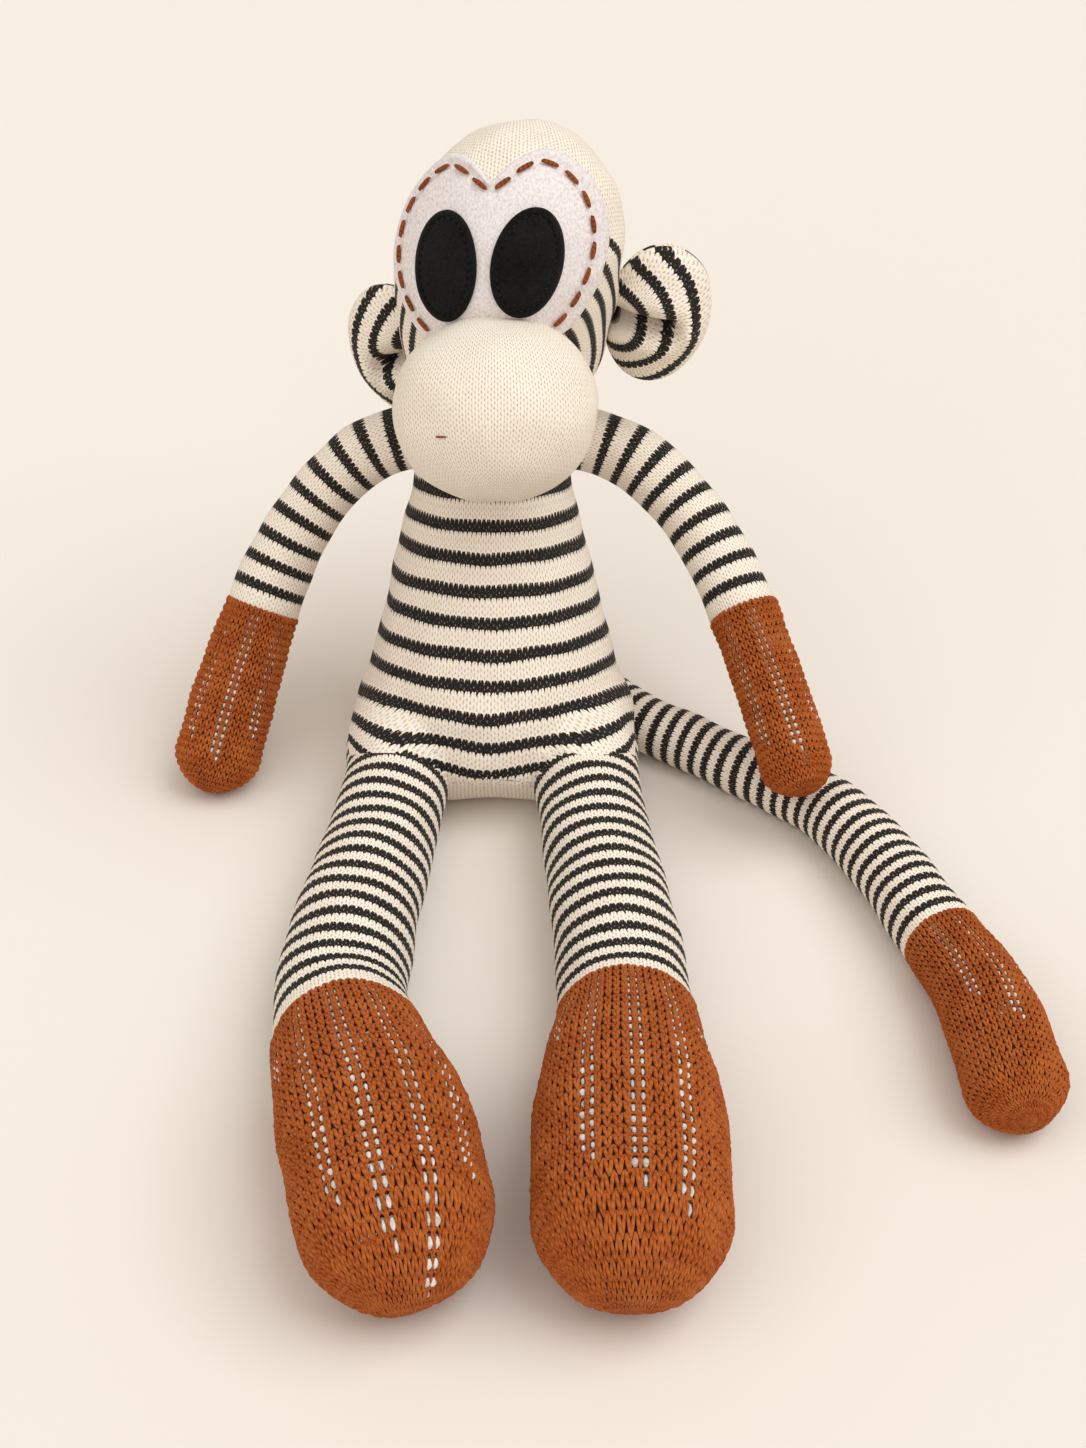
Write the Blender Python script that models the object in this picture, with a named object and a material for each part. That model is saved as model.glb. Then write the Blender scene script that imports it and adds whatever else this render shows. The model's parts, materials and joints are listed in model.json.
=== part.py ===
"""A sock monkey, sitting: a stuffed toy sewn from striped socks, with rust coloured toes.

Metres, +Z up. The toy faces -Y, so its own left is +X. The origin is on the floor, a little behind
the middle of the flat that the seat stands on. Knitted skins are thin hollow shells round separate
cores of stuffing.
"""

import math

import bmesh
import bpy
from mathutils import Matrix, Vector

# Sock fabric, felt and clearances
KNIT_WALL = 0.0016
FELT_THICKNESS = 0.0016
SEAM_GAP = 0.0003
GROUND_FLAT = 0.0005
CUT_OVERRUN = 0.060

# Torso: full width and depth, and how far the neck lies behind the seat
TORSO_HEIGHT = 0.1335
TORSO_WIDTH = 0.1095
TORSO_DEPTH = 0.095
TORSO_LEAN = 0.052
SEAT_SET_BACK = 0.010
# Height, lean, width and depth of each level, from the seat to the neck
TORSO_LEVEL_SHARES = (
    (0.000, 0.00, 0.60, 0.62),
    (0.020, 0.00, 0.80, 0.78),
    (0.080, 0.00, 0.97, 0.93),
    (0.200, 0.02, 0.94, 0.99),
    (0.330, 0.12, 0.855, 0.99),
    (0.450, 0.27, 0.775, 0.94),
    (0.600, 0.48, 0.680, 0.85),
    (0.750, 0.70, 0.565, 0.73),
    (0.860, 0.86, 0.52, 0.62),
    (0.940, 0.95, 0.47, 0.50),
    (1.000, 1.00, 0.28, 0.30),
)
TORSO_TOP_SHARE = 0.920
TORSO_SIDES, TORSO_CORE_SIDES = 28, 14
SEAT_PANEL_HEIGHT = 0.025
SEAT_PANEL_TILT = math.radians(-4)

# Neck: a small gathered ball of sock between torso and head
NECK_RADIUS = 0.0165
NECK_SINK = 0.004

# Head: round at the crown and tapering to the neck, turned and tipped to the toy's own right
HEAD_WIDTH = 0.0845
HEAD_DEPTH = 0.090
HEAD_HEIGHT = 0.1136
HEAD_LIFT = 0.0615
HEAD_SHIFT = 0.0070
HEAD_TURN = math.radians(-6.5)
HEAD_TIP = math.radians(-6.5)
HEAD_LEAN = 0.018
# How much of the head is below the middle of its face
HEAD_LOWER_SHARE = 0.555
# Height and width of each level, from the neck to the crown
HEAD_LEVEL_SHARES = (
    (0.000, 0.28),
    (0.050, 0.50),
    (0.092, 0.68),
    (0.135, 0.80),
    (0.190, 0.87),
    (0.274, 0.91),
    (0.403, 0.96),
    (0.532, 0.99),
    (0.617, 1.00),
    (0.703, 0.95),
    (0.789, 0.86),
    (0.858, 0.73),
    (0.918, 0.58),
    (0.961, 0.42),
    (0.991, 0.22),
    (1.000, 0.06),
)
CHEEK_SEAM_OFFSET = 0.004
CHEEK_SEAM_PITCH = math.radians(29)

# Muzzle: the heel of a second sock, stuffed and sewn to the lower face
MUZZLE_WIDTH = 0.0732
MUZZLE_HEIGHT = 0.066
MUZZLE_DEPTH = 0.068
MUZZLE_REACH = 0.0545
MUZZLE_DROP = 0.0285
MUZZLE_SHIFT = -0.0045
MUZZLE_PITCH = math.radians(20)

# Face patch: a heart of felt, seen square on, with its heights taken from the head's middle
PATCH_HALF_WIDTH = 0.0400
PATCH_RISE = 0.0395
# The patch leans with the head, by this share of the head's own lean
PATCH_LEAN_SHARE = 0.5
PATCH_PITCH = math.radians(25)
# Across and up, from the notch round one lobe to the point
PATCH_HALF_OUTLINE_SHARES = (
    (0.00, 0.76),
    (0.10, 0.845),
    (0.20, 0.93),
    (0.31, 0.985),
    (0.45, 1.00),
    (0.61, 0.93),
    (0.75, 0.81),
    (0.86, 0.66),
    (0.95, 0.44),
    (0.985, 0.18),
    (0.95, -0.06),
    (0.88, -0.26),
    (0.77, -0.45),
    (0.64, -0.60),
    (0.45, -0.68),
    (0.25, -0.70),
    (0.00, -0.71),
)

# Running stitches that hold the patch, counted down each side from the notch
STITCHES_PER_SIDE = 10
STITCH_LENGTH = 0.0068
STITCH_WIDTH = 0.0019
STITCH_THICKNESS = 0.0014
STITCH_INSET = 0.0036
STITCH_RUN_SHARES = (0.045, 0.765)

# Felt eyes
EYE_WIDTH = 0.0240
EYE_HEIGHT = 0.0387
EYE_SPACING = 0.0293
EYE_RISE = 0.0017
EYE_SHIFT = -0.0006
EYE_TILTS = {"left": math.radians(-17), "right": math.radians(-6)}
EYE_SIDES = 20

# Mouth: one short stitch on the muzzle, placed across and up from the muzzle's middle
MOUTH_STITCH_LENGTH = 0.0050
MOUTH_STITCH_WIDTH = 0.0014
MOUTH_STITCH_ACROSS = -0.0141
MOUTH_STITCH_RISE = 0.0182

# Ears: stuffed rounds, each with a crease that is sewn into its front
EAR_REACH = 0.0390
EAR_THICKNESS = 0.0250
EAR_HEIGHT = 0.0560
EAR_OFFSET = 0.0165
EAR_DROPS = {"left": 0.0230, "right": 0.0435}
EAR_SET_BACKS = {"left": 0.004, "right": 0.0215}
EAR_SWEEPS = {"left": math.radians(3), "right": math.radians(-22)}
EAR_MOUTH_RADIUS = 0.003
EAR_CREASE_LENGTH = 0.026
EAR_CREASE_DEPTH = 0.014
EAR_CREASE_HEIGHT = 0.006
EAR_CREASE_OFFSET = 0.008
# How far each ear folds either way about its root
EAR_FOLD = math.radians(15)

# Arms: how far the middle of the hand's tip lies outside and in front of the shoulder's middle
SHOULDER_HEIGHT = 0.1145
SHOULDER_SET_BACK = 0.042
SHOULDER_INNER = 0.019
SHOULDER_OUTER = 0.034
ARM_RADIUS = 0.0123
WRIST_RADII = {"left": 0.0129, "right": 0.0142}
HAND_RADII = {"left": 0.0132, "right": 0.0162}
ARM_SPREADS = {"left": 0.1132, "right": 0.1066}
ARM_FORWARDS = {"left": 0.1034, "right": 0.0696}
# Across, forward and down, from the shoulder's outer end to the middle of the hand's tip
ARM_ROUTE_SHARES = (
    (0.15, 0.02, 0.035),
    (0.31, 0.07, 0.105),
    (0.455, 0.15, 0.205),
    (0.575, 0.25, 0.31),
    (0.68, 0.37, 0.435),
    (0.765, 0.50, 0.56),
    (0.85, 0.66, 0.71),
    (0.93, 0.83, 0.86),
    (1.00, 1.00, 1.000),
)
UPPER_ARM_SHARE = 0.35
WRIST_SHARE = 0.64
HAND_SHARE = 0.88

# Legs: they lie flat on what the toy sits on
HIP_SPACING = 0.072
HIP_SET_FORWARD = 0.030
LEG_RADIUS = 0.0200
ANKLE_RADIUS = 0.0228
FOOT_RADIUS = 0.0312
LEG_LENGTH = 0.2340
LEG_SPREADS = {"left": 0.0115, "right": 0.0150}
TOE_TURNS = {"left": 0.0005, "right": 0.0240}
# Forward, outward and toe-in, from the hip to the middle of the toes
LEG_ROUTE_SHARES = (
    (0.00, 0.00, 0.00),
    (0.09, 0.02, 0.00),
    (0.25, 0.35, 0.00),
    (0.45, 0.80, 0.00),
    (0.60, 1.00, 0.06),
    (0.75, 1.00, 0.38),
    (0.88, 1.00, 0.75),
    (1.00, 1.00, 1.00),
)
THIGH_SHARE = 0.14
ANKLE_SHARE = 0.56
LEG_CUFF_SHARES = {"left": 0.62, "right": 0.66}
TOES_SHARE = 0.88
HIP_RAISE = math.radians(31)
HIP_LOWER = math.radians(-1)

# Tail: it lies flat in a bow
TAIL_RADIUS = 0.0112
TAIL_CUFF_RADIUS = 0.0143
TAIL_TIP_RADIUS = 0.0172
TAIL_ROOT_ACROSS = 0.036
TAIL_ROOT_BACK = 0.021
TAIL_ACROSS = 0.141
TAIL_FORWARD = 0.2195
# Across and forward, from the root to the middle of the tip
TAIL_ROUTE_SHARES = (
    (0.000, 0.000),
    (0.085, 0.065),
    (0.170, 0.120),
    (0.305, 0.178),
    (0.411, 0.231),
    (0.505, 0.275),
    (0.595, 0.322),
    (0.685, 0.390),
    (0.785, 0.511),
    (0.890, 0.684),
    (0.943, 0.779),
    (0.977, 0.873),
    (1.000, 1.000),
)
TAIL_SLIM_SHARE = 0.20
TAIL_CUFF_SHARE = 0.735
TAIL_FULL_SHARE = 0.93
TAIL_UNDER_HAND_SHARE = 0.50

# Facets: a bevelled tube has four sides and two more for each step
ARM_STEPS, ARM_RINGS = 5, 17
LEG_STEPS, LEG_RINGS = 6, 17
TAIL_STEPS, TAIL_RINGS = 4, 22
CORE_STEPS = 2
HEAD_SIDES, HEAD_CORE_SIDES = 28, 14
EAR_SEGMENTS, EAR_RINGS = 18, 10
EAR_CORE_SEGMENTS, EAR_CORE_RINGS = 10, 6
CREASE_SEGMENTS, CREASE_RINGS = 10, 6
MUZZLE_SEGMENTS, MUZZLE_RINGS = 22, 12
CORE_SEGMENTS, CORE_RINGS = 14, 8
STITCH_SEGMENTS, STITCH_RINGS = 6, 4
CLEARANCE_SEGMENTS, CLEARANCE_RINGS = 16, 9
# Rods are turned, so that their corners miss the corners of what they cut
ROD_TURN = math.radians(7)
NECK_SEGMENTS, NECK_RINGS = 16, 10
ROUND_END_SHARES = (0.45, 0.75, 0.93, 0.995)
SWEEP_SHARES = (0.5, 0.85, 0.99)
ROUTE_STEPS = 24
# A flat end is square to this last short length of its tube
SQUARE_END = 0.0010
HALVINGS = 30

SIDES = {"left": 1, "right": -1}

COLOURS = {
    "striped_knit": (0.60, 0.57, 0.52, 1),
    "cream_knit": (0.87, 0.79, 0.67, 1),
    "rust_knit": (0.39, 0.09, 0.02, 1),
    "white_felt": (0.80, 0.74, 0.76, 1),
    "black_felt": (0.010, 0.010, 0.011, 1),
    "rust_thread": (0.27, 0.06, 0.015, 1),
    "stuffing": (0.90, 0.90, 0.88, 1),
}
FABRIC_ROUGHNESS = 0.9


def new_collection(name):
    collection = bpy.data.collections.new(name)
    bpy.context.scene.collection.children.link(collection)
    return collection


def new_material(name, colour):
    material = bpy.data.materials.new(name)
    material.use_nodes = True
    shader = material.node_tree.nodes["Principled BSDF"]
    shader.inputs["Base Color"].default_value = colour
    shader.inputs["Roughness"].default_value = FABRIC_ROUGHNESS
    shader.inputs["Metallic"].default_value = 0
    material.diffuse_color = colour
    return material


for startup_object in list(bpy.data.objects):
    bpy.data.objects.remove(startup_object, do_unlink=True)
MONKEY = new_collection("sock_monkey")
CUTTERS = new_collection("cutters")
MATERIALS = {name: new_material(name, colour) for name, colour in COLOURS.items()}


def mesh_from(name, build):
    mesh = bpy.data.meshes.new(name)
    shape = bmesh.new()
    build(shape)
    bmesh.ops.recalc_face_normals(shape, faces=shape.faces)
    shape.to_mesh(mesh)
    shape.free()
    return mesh


def add_object(name, mesh, material=None):
    """A piece when it has a material, otherwise a cutter that stays out of renders."""
    piece = bpy.data.objects.new(name, mesh)
    if material:
        MONKEY.objects.link(piece)
        mesh.materials.append(MATERIALS[material])
        mesh.shade_smooth()
        mesh.set_sharp_from_angle(angle=math.radians(50))
    else:
        CUTTERS.objects.link(piece)
        piece.hide_render = True
        piece.display_type = "WIRE"
    return piece


def boolean(piece, cutters, operation="DIFFERENCE"):
    for cutter in cutters:
        modifier = piece.modifiers.new(f"{operation} {cutter.name}", "BOOLEAN")
        modifier.operation = operation
        modifier.solver = "EXACT"
        modifier.object = cutter


def loft(name, rings, material=None):
    """A closed form through unlike rings with as many points each."""

    def build(shape):
        loops = [[shape.verts.new(point) for point in ring] for ring in rings]
        for lower, upper in zip(loops, loops[1:]):
            for index in range(len(lower)):
                after = (index + 1) % len(lower)
                shape.faces.new((lower[index], lower[after], upper[after], upper[index]))
        shape.faces.new(reversed(loops[0]))
        shape.faces.new(loops[-1])

    return add_object(name, mesh_from(name, build), material)


def extrusion(name, outline, matrix, start, end):
    """A flat outline in the local XZ plane, drawn out along Y."""

    def build(shape):
        near = [shape.verts.new(matrix @ Vector((x, start, z))) for x, z in outline]
        far = [shape.verts.new(matrix @ Vector((x, end, z))) for x, z in outline]
        shape.faces.new(near)
        shape.faces.new(reversed(far))
        for index in range(len(outline)):
            after = (index + 1) % len(outline)
            shape.faces.new((near[index], far[index], far[after], near[after]))

    return add_object(name, mesh_from(name, build))


def ellipsoid(name, size, matrix, segments, rings, material=None):
    scaling = Matrix.Diagonal((*(side / 2 for side in size), 1))

    def build(shape):
        bmesh.ops.create_uvsphere(
            shape, u_segments=segments, v_segments=rings, radius=1, matrix=matrix @ scaling
        )

    return add_object(name, mesh_from(name, build), material)


def ball_clearance(name, centre, radius):
    """A ball whose facets all lie outside this radius."""
    flattest = math.cos(math.pi / CLEARANCE_SEGMENTS) * math.cos(math.pi / CLEARANCE_RINGS / 2)
    outside = radius / flattest
    return ellipsoid(
        name,
        (2 * outside, 2 * outside, 2 * outside),
        Matrix.Translation(centre),
        CLEARANCE_SEGMENTS,
        CLEARANCE_RINGS,
    )


def rod_clearance(name, start, direction, length, radius):
    """A rod whose facets all lie outside this radius."""
    outside = radius / math.cos(math.pi / CLEARANCE_SEGMENTS)
    turn = direction.to_track_quat("Z", "Y").to_matrix().to_4x4()
    middle = Matrix.Translation(start + direction * length / 2)
    matrix = middle @ turn @ Matrix.Rotation(ROD_TURN, 4, "Z")

    def build(shape):
        bmesh.ops.create_cone(
            shape,
            cap_ends=True,
            segments=CLEARANCE_SEGMENTS,
            radius1=outside,
            radius2=outside,
            depth=length,
            matrix=matrix,
        )

    return add_object(name, mesh_from(name, build))


def half_space(name, point, facing):
    """A block that fills the far side of a plane through the point."""
    reach = TORSO_HEIGHT + LEG_LENGTH
    turn = facing.to_track_quat("Z", "Y").to_matrix().to_4x4()
    scaling = Matrix.Diagonal((2 * reach, 2 * reach, reach, 1))
    matrix = Matrix.Translation(point + facing * reach / 2) @ turn @ scaling
    return add_object(
        name, mesh_from(name, lambda shape: bmesh.ops.create_cube(shape, size=1, matrix=matrix))
    )


def eased(pairs, share):
    """The value at this share, eased between (share, value) pairs."""
    for (start, low), (end, high) in zip(pairs, pairs[1:]):
        if share <= end:
            part = max(0, (share - start) / (end - start))
            return low + (high - low) * part * part * (3 - 2 * part)
    return pairs[-1][1]


def smooth_route(points):
    """Closely spaced points on one smooth curve through the route's own points."""
    route = [Vector(point) for point in points]
    ends = [2 * route[0] - route[1], *route, 2 * route[-1] - route[-2]]
    fine = []
    for a, b, c, d in zip(ends, ends[1:], ends[2:], ends[3:]):
        for step in range(ROUTE_STEPS):
            t = step / ROUTE_STEPS
            slope = (c - a) * t
            bend = (2 * a - 5 * b + 4 * c - d) * t**2
            twist = (3 * b - a - 3 * c + d) * t**3
            fine.append(b + (slope + bend + twist) / 2)
    return [*fine, route[-1]]


class Limb:
    """A stuffed tube along a smooth route, thick by (share of length, radius) pairs."""

    def __init__(self, route, radii, round_root=False):
        self.points = smooth_route(route)
        self.distances = [0]
        for before, after in zip(self.points, self.points[1:]):
            self.distances.append(self.distances[-1] + (after - before).length)
        self.length = self.distances[-1]
        self.radii = radii
        self.round_root = round_root

    def radius(self, distance):
        return eased(self.radii, distance / self.length)

    def place(self, distance):
        if distance < 0:
            return self.points[0] + (self.points[0] - self.points[1]).normalized() * -distance
        for index, reached in enumerate(self.distances[1:], 1):
            if reached >= distance:
                before = self.distances[index - 1]
                part = (distance - before) / (reached - before)
                return self.points[index - 1].lerp(self.points[index], part)
        onward = (self.points[-1] - self.points[-2]).normalized()
        return self.points[-1] + onward * (distance - self.length)

    def stations(self, start, end, rings, inset, round_end):
        """Distances along the limb and the radius of the ring at each."""
        found = []
        places = [start + (end - start) * ring / (rings - 1) for ring in range(rings)]
        if start == 0 and self.round_root:
            radius = self.radius(0) - inset
            for share in reversed(ROUND_END_SHARES):
                found.append((-share * radius, radius * math.sqrt(1 - share**2)))
        else:
            places.insert(1, start + SQUARE_END)
        if not round_end:
            places.insert(-1, end - SQUARE_END)
        for distance in places:
            found.append((distance, self.radius(distance) - inset))
        if round_end:
            radius = self.radius(end) - inset
            for share in ROUND_END_SHARES:
                found.append((end + share * radius, radius * math.sqrt(1 - share**2)))
        return found

    def tube(self, name, start, end, rings, steps, inset=0, round_end=False, material=None):
        """A bevelled curve with its own radius at each point, made a closed mesh."""
        curve = bpy.data.curves.new(name + "_curve", "CURVE")
        curve.dimensions = "3D"
        curve.bevel_depth = 1
        curve.bevel_resolution = steps
        curve.use_fill_caps = True
        stations = self.stations(start, end, rings, inset, round_end)
        spline = curve.splines.new("POLY")
        spline.points.add(len(stations) - 1)
        for point, (distance, radius) in zip(spline.points, stations):
            point.co = (*self.place(distance), 1)
            point.radius = radius
        guide = bpy.data.objects.new(name + "_guide", curve)
        CUTTERS.objects.link(guide)
        graph = bpy.context.evaluated_depsgraph_get()
        mesh = bpy.data.meshes.new_from_object(guide.evaluated_get(graph))
        matrix = guide.matrix_world.copy()
        bpy.data.objects.remove(guide)
        shape = bmesh.new()
        shape.from_mesh(mesh)
        bmesh.ops.remove_doubles(shape, verts=shape.verts, dist=SEAM_GAP / 10)
        bmesh.ops.recalc_face_normals(shape, faces=shape.faces)
        shape.to_mesh(mesh)
        shape.free()
        mesh.name = name
        piece = add_object(name, mesh, material)
        piece.matrix_world = matrix
        return piece


# Where the joints are
NECK_CENTRE = Vector((0, TORSO_LEAN - SEAT_SET_BACK, TORSO_HEIGHT - NECK_SINK))
SHOULDERS = {
    side: Vector((sign * SHOULDER_INNER, SHOULDER_SET_BACK, SHOULDER_HEIGHT))
    for side, sign in SIDES.items()
}
HIPS = {
    side: Vector((sign * HIP_SPACING / 2, -HIP_SET_FORWARD, LEG_RADIUS - GROUND_FLAT))
    for side, sign in SIDES.items()
}
TAIL_ROOT = Vector((TAIL_ROOT_ACROSS, TAIL_ROOT_BACK, TAIL_RADIUS - GROUND_FLAT))

GROUND = half_space("ground_cutter", Vector((0, 0, 0)), Vector((0, 0, -1)))


# Legs, arms and tail: a striped sleeve, a rust end and one core of stuffing each
def tail_radii():
    return (
        (0, TAIL_RADIUS),
        (TAIL_SLIM_SHARE, TAIL_RADIUS),
        (TAIL_CUFF_SHARE, TAIL_CUFF_RADIUS),
        (TAIL_FULL_SHARE, TAIL_TIP_RADIUS),
        (1, TAIL_TIP_RADIUS),
    )


def leg_limb(side):
    hip, sign = HIPS[side], SIDES[side]
    radii = (
        (0, LEG_RADIUS),
        (THIGH_SHARE, LEG_RADIUS),
        (ANKLE_SHARE, ANKLE_RADIUS),
        (TOES_SHARE, FOOT_RADIUS),
        (1, FOOT_RADIUS),
    )
    route = []
    for forward, outward, toe_in in LEG_ROUTE_SHARES:
        across = outward * LEG_SPREADS[side] - toe_in * TOE_TURNS[side]
        height = eased(radii, forward) - GROUND_FLAT
        route.append((hip.x + sign * across, hip.y - forward * LEG_LENGTH, height))
    return Limb(route, radii, round_root=True)


def arm_limb(side):
    shoulder, sign = SHOULDERS[side], SIDES[side]
    radii = (
        (0, ARM_RADIUS),
        (UPPER_ARM_SHARE, ARM_RADIUS),
        (WRIST_SHARE, WRIST_RADII[side]),
        (HAND_SHARE, HAND_RADII[side]),
        (1, HAND_RADII[side]),
    )
    tail_top = 2 * eased(tail_radii(), TAIL_UNDER_HAND_SHARE) + SEAM_GAP
    rests_on = {"left": tail_top, "right": 0}[side]
    drop = SHOULDER_HEIGHT - (rests_on + HAND_RADII[side] - GROUND_FLAT)
    spread = ARM_SPREADS[side] - SHOULDER_OUTER
    straight = SHOULDER_OUTER - SHOULDER_INNER
    route = [shoulder + Vector((sign * straight * share, 0, 0)) for share in (0, 0.5, 1)]
    for across, forward, down in ARM_ROUTE_SHARES:
        x = sign * (SHOULDER_OUTER + across * spread)
        route.append((x, shoulder.y - forward * ARM_FORWARDS[side], shoulder.z - down * drop))
    return Limb(route, radii)


def tail_limb():
    route = []
    for across, forward in TAIL_ROUTE_SHARES:
        place = TAIL_ROOT + Vector((across * TAIL_ACROSS, -forward * TAIL_FORWARD, 0))
        place.z = eased(tail_radii(), (across + forward) / 2) - GROUND_FLAT
        route.append(place)
    return Limb(route, tail_radii(), round_root=True)


LEGS = {side: leg_limb(side) for side in SIDES}
ARMS = {side: arm_limb(side) for side in SIDES}
TAIL = tail_limb()


def build_limb(limb, names, cuff_share, rings, steps, cuts, void_cuts=(), core_cuts=()):
    """Sleeve, end and stuffing, with the cuts made in both skins, their void and the core."""
    sleeve_name, end_name, core_name = names
    cuff = cuff_share * limb.length
    root = 0 if limb.round_root else KNIT_WALL
    core_root = 0 if limb.round_root else KNIT_WALL + SEAM_GAP
    sleeve_rings = round(rings * cuff_share)
    end_rings = rings - sleeve_rings
    inset = KNIT_WALL + SEAM_GAP
    void = limb.tube(core_name + "_void", root, limb.length, rings, CORE_STEPS, KNIT_WALL, True)
    boolean(void, void_cuts)
    sleeve = limb.tube(
        sleeve_name, 0, cuff - SEAM_GAP / 2, sleeve_rings, steps, material="striped_knit"
    )
    boolean(sleeve, [void, *cuts])
    end = limb.tube(
        end_name, cuff + SEAM_GAP / 2, limb.length, end_rings, steps, 0, True, "rust_knit"
    )
    boolean(end, [void, *cuts])
    core = limb.tube(
        core_name, core_root, limb.length, rings, CORE_STEPS, inset, True, "stuffing"
    )
    boolean(core, core_cuts)


# Torso: the striped body, its heel panel below and the stuffing
def torso_rings(inset=0, sides=TORSO_SIDES):
    rings = []
    for height, lean, width, depth in TORSO_LEVEL_SHARES:
        half_width = width * TORSO_WIDTH / 2 - inset
        half_depth = depth * TORSO_DEPTH / 2 - inset
        level = height * TORSO_HEIGHT - GROUND_FLAT
        if height == 0:
            level += inset
        middle = lean * TORSO_LEAN - SEAT_SET_BACK
        turns = [2 * math.pi * side / sides for side in range(sides)]
        rings.append(
            [
                (half_width * math.cos(turn), middle + half_depth * math.sin(turn), level)
                for turn in turns
            ]
        )
    return rings


def leg_clearance(side):
    """All that a leg sweeps in the torso, in slices across the hip's axis."""
    radius = (LEG_RADIUS + SEAM_GAP) / math.cos(math.pi / CLEARANCE_RINGS)
    right_angle = math.pi / 2

    def ahead(angle):
        return Vector((0, -math.cos(angle), math.sin(angle)))

    slices = []
    for share in (*(-share for share in reversed(SWEEP_SHARES)), 0, *SWEEP_SHARES):
        middle = HIPS[side] + Vector((share * radius, 0, 0))
        half = radius * math.sqrt(1 - share**2)
        outline = []
        for step in range(CLEARANCE_RINGS):
            part = step / (CLEARANCE_RINGS - 1)
            behind = HIP_RAISE + right_angle + (math.pi + HIP_LOWER - HIP_RAISE) * part
            outline.append(middle + ahead(behind) * half)
        outline.append(middle + ahead(HIP_LOWER) * CUT_OVERRUN + ahead(behind) * half)
        outline.append(middle + ahead((HIP_LOWER + HIP_RAISE) / 2) * 2 * CUT_OVERRUN)
        above = ahead(HIP_RAISE + right_angle) * half
        outline.append(middle + ahead(HIP_RAISE) * CUT_OVERRUN + above)
        slices.append(outline)
    return loft(f"leg_{side}_sweep", slices)


def build_torso():
    upper = [
        ball_clearance("neck_ball", NECK_CENTRE, NECK_RADIUS + SEAM_GAP),
        half_space("torso_top", Vector((0, 0, TORSO_TOP_SHARE * TORSO_HEIGHT)), Vector((0, 0, 1))),
    ]
    lower = [ball_clearance("tail_root_socket", TAIL_ROOT, TAIL_RADIUS + 2 * SEAM_GAP)]
    for side, sign in SIDES.items():
        outward = Vector((sign, 0, 0))
        start = SHOULDERS[side] - outward * SEAM_GAP
        radius = ARM_RADIUS + SEAM_GAP
        upper.append(rod_clearance(f"shoulder_{side}_socket", start, outward, CUT_OVERRUN, radius))
        lower.append(leg_clearance(side))

    seam_normal = Vector((0, math.sin(SEAT_PANEL_TILT), math.cos(SEAT_PANEL_TILT)))
    seam = Vector((0, -SEAT_SET_BACK, SEAT_PANEL_HEIGHT))
    half_gap = seam_normal * SEAM_GAP / 2
    above = half_space("above_seat_seam", seam - half_gap, seam_normal)
    below = half_space("below_seat_seam", seam + half_gap, -seam_normal)
    void = loft("torso_void", torso_rings(KNIT_WALL, TORSO_CORE_SIDES))
    torso = loft("torso", torso_rings(), "striped_knit")
    boolean(torso, [void, below, *lower, *upper])
    seat = loft("seat_panel", torso_rings(), "cream_knit")
    boolean(seat, [void, *lower, above, GROUND])
    core_rings = torso_rings(KNIT_WALL + 3 * SEAM_GAP, TORSO_CORE_SIDES)
    stuffing = loft("torso_stuffing", core_rings, "stuffing")
    boolean(stuffing, [*lower, *upper])


# Head: everything on it is placed in the head's own frame
HEAD_MATRIX = (
    Matrix.Translation(NECK_CENTRE + Vector((HEAD_SHIFT, 0, HEAD_LIFT)))
    @ Matrix.Rotation(HEAD_TURN, 4, "Z")
    @ Matrix.Rotation(HEAD_TIP, 4, "Y")
)
MUZZLE_MATRIX = (
    Matrix.Translation(
        HEAD_MATRIX.translation + Vector((MUZZLE_SHIFT, -MUZZLE_REACH, -MUZZLE_DROP))
    )
    @ Matrix.Rotation(HEAD_TURN, 4, "Z")
    @ Matrix.Rotation(HEAD_TIP, 4, "Y")
    @ Matrix.Rotation(MUZZLE_PITCH, 4, "X")
)
FACE_TILT = Matrix.Rotation(-PATCH_PITCH, 4, "X")
MUZZLE_SIZE = (MUZZLE_WIDTH, MUZZLE_DEPTH, MUZZLE_HEIGHT)
PATCH_TOP = SEAM_GAP + FELT_THICKNESS


def grown(size, offset):
    return tuple(side + 2 * offset for side in size)


def head_level(share, offset):
    """Height of a level of the head over the middle of the face."""
    return (share - HEAD_LOWER_SHARE) * HEAD_HEIGHT + (2 * share - 1) * offset


def head_radii(height, offset):
    """Half width and half depth of the head at a height over the middle of the face."""
    levels = [(head_level(share, offset), width) for share, width in HEAD_LEVEL_SHARES]
    for (low, narrow), (high, wide) in zip(levels, levels[1:]):
        if height <= high:
            width = narrow + (wide - narrow) * max(0, (height - low) / (high - low))
            return width * HEAD_WIDTH / 2 + offset, width * HEAD_DEPTH / 2 + offset
    return offset, offset


def head_middle(height):
    """How far a level's middle lies to the toy's left, because the head leans."""
    return HEAD_LEAN * height / HEAD_HEIGHT


def head_form(name, offset=0, material=None, sides=HEAD_SIDES):
    rings = []
    for share, _ in HEAD_LEVEL_SHARES:
        level = head_level(share, offset)
        half_width, half_depth = head_radii(level, offset)
        ring = []
        for side in range(sides):
            turn = 2 * math.pi * side / sides
            across = head_middle(level) + half_width * math.cos(turn)
            ring.append(HEAD_MATRIX @ Vector((across, half_depth * math.sin(turn), level)))
        rings.append(ring)
    return loft(name, rings, material)


def muzzle_form(name, offset=0, material=None):
    return ellipsoid(
        name, grown(MUZZLE_SIZE, offset), MUZZLE_MATRIX, MUZZLE_SEGMENTS, MUZZLE_RINGS, material
    )


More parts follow.
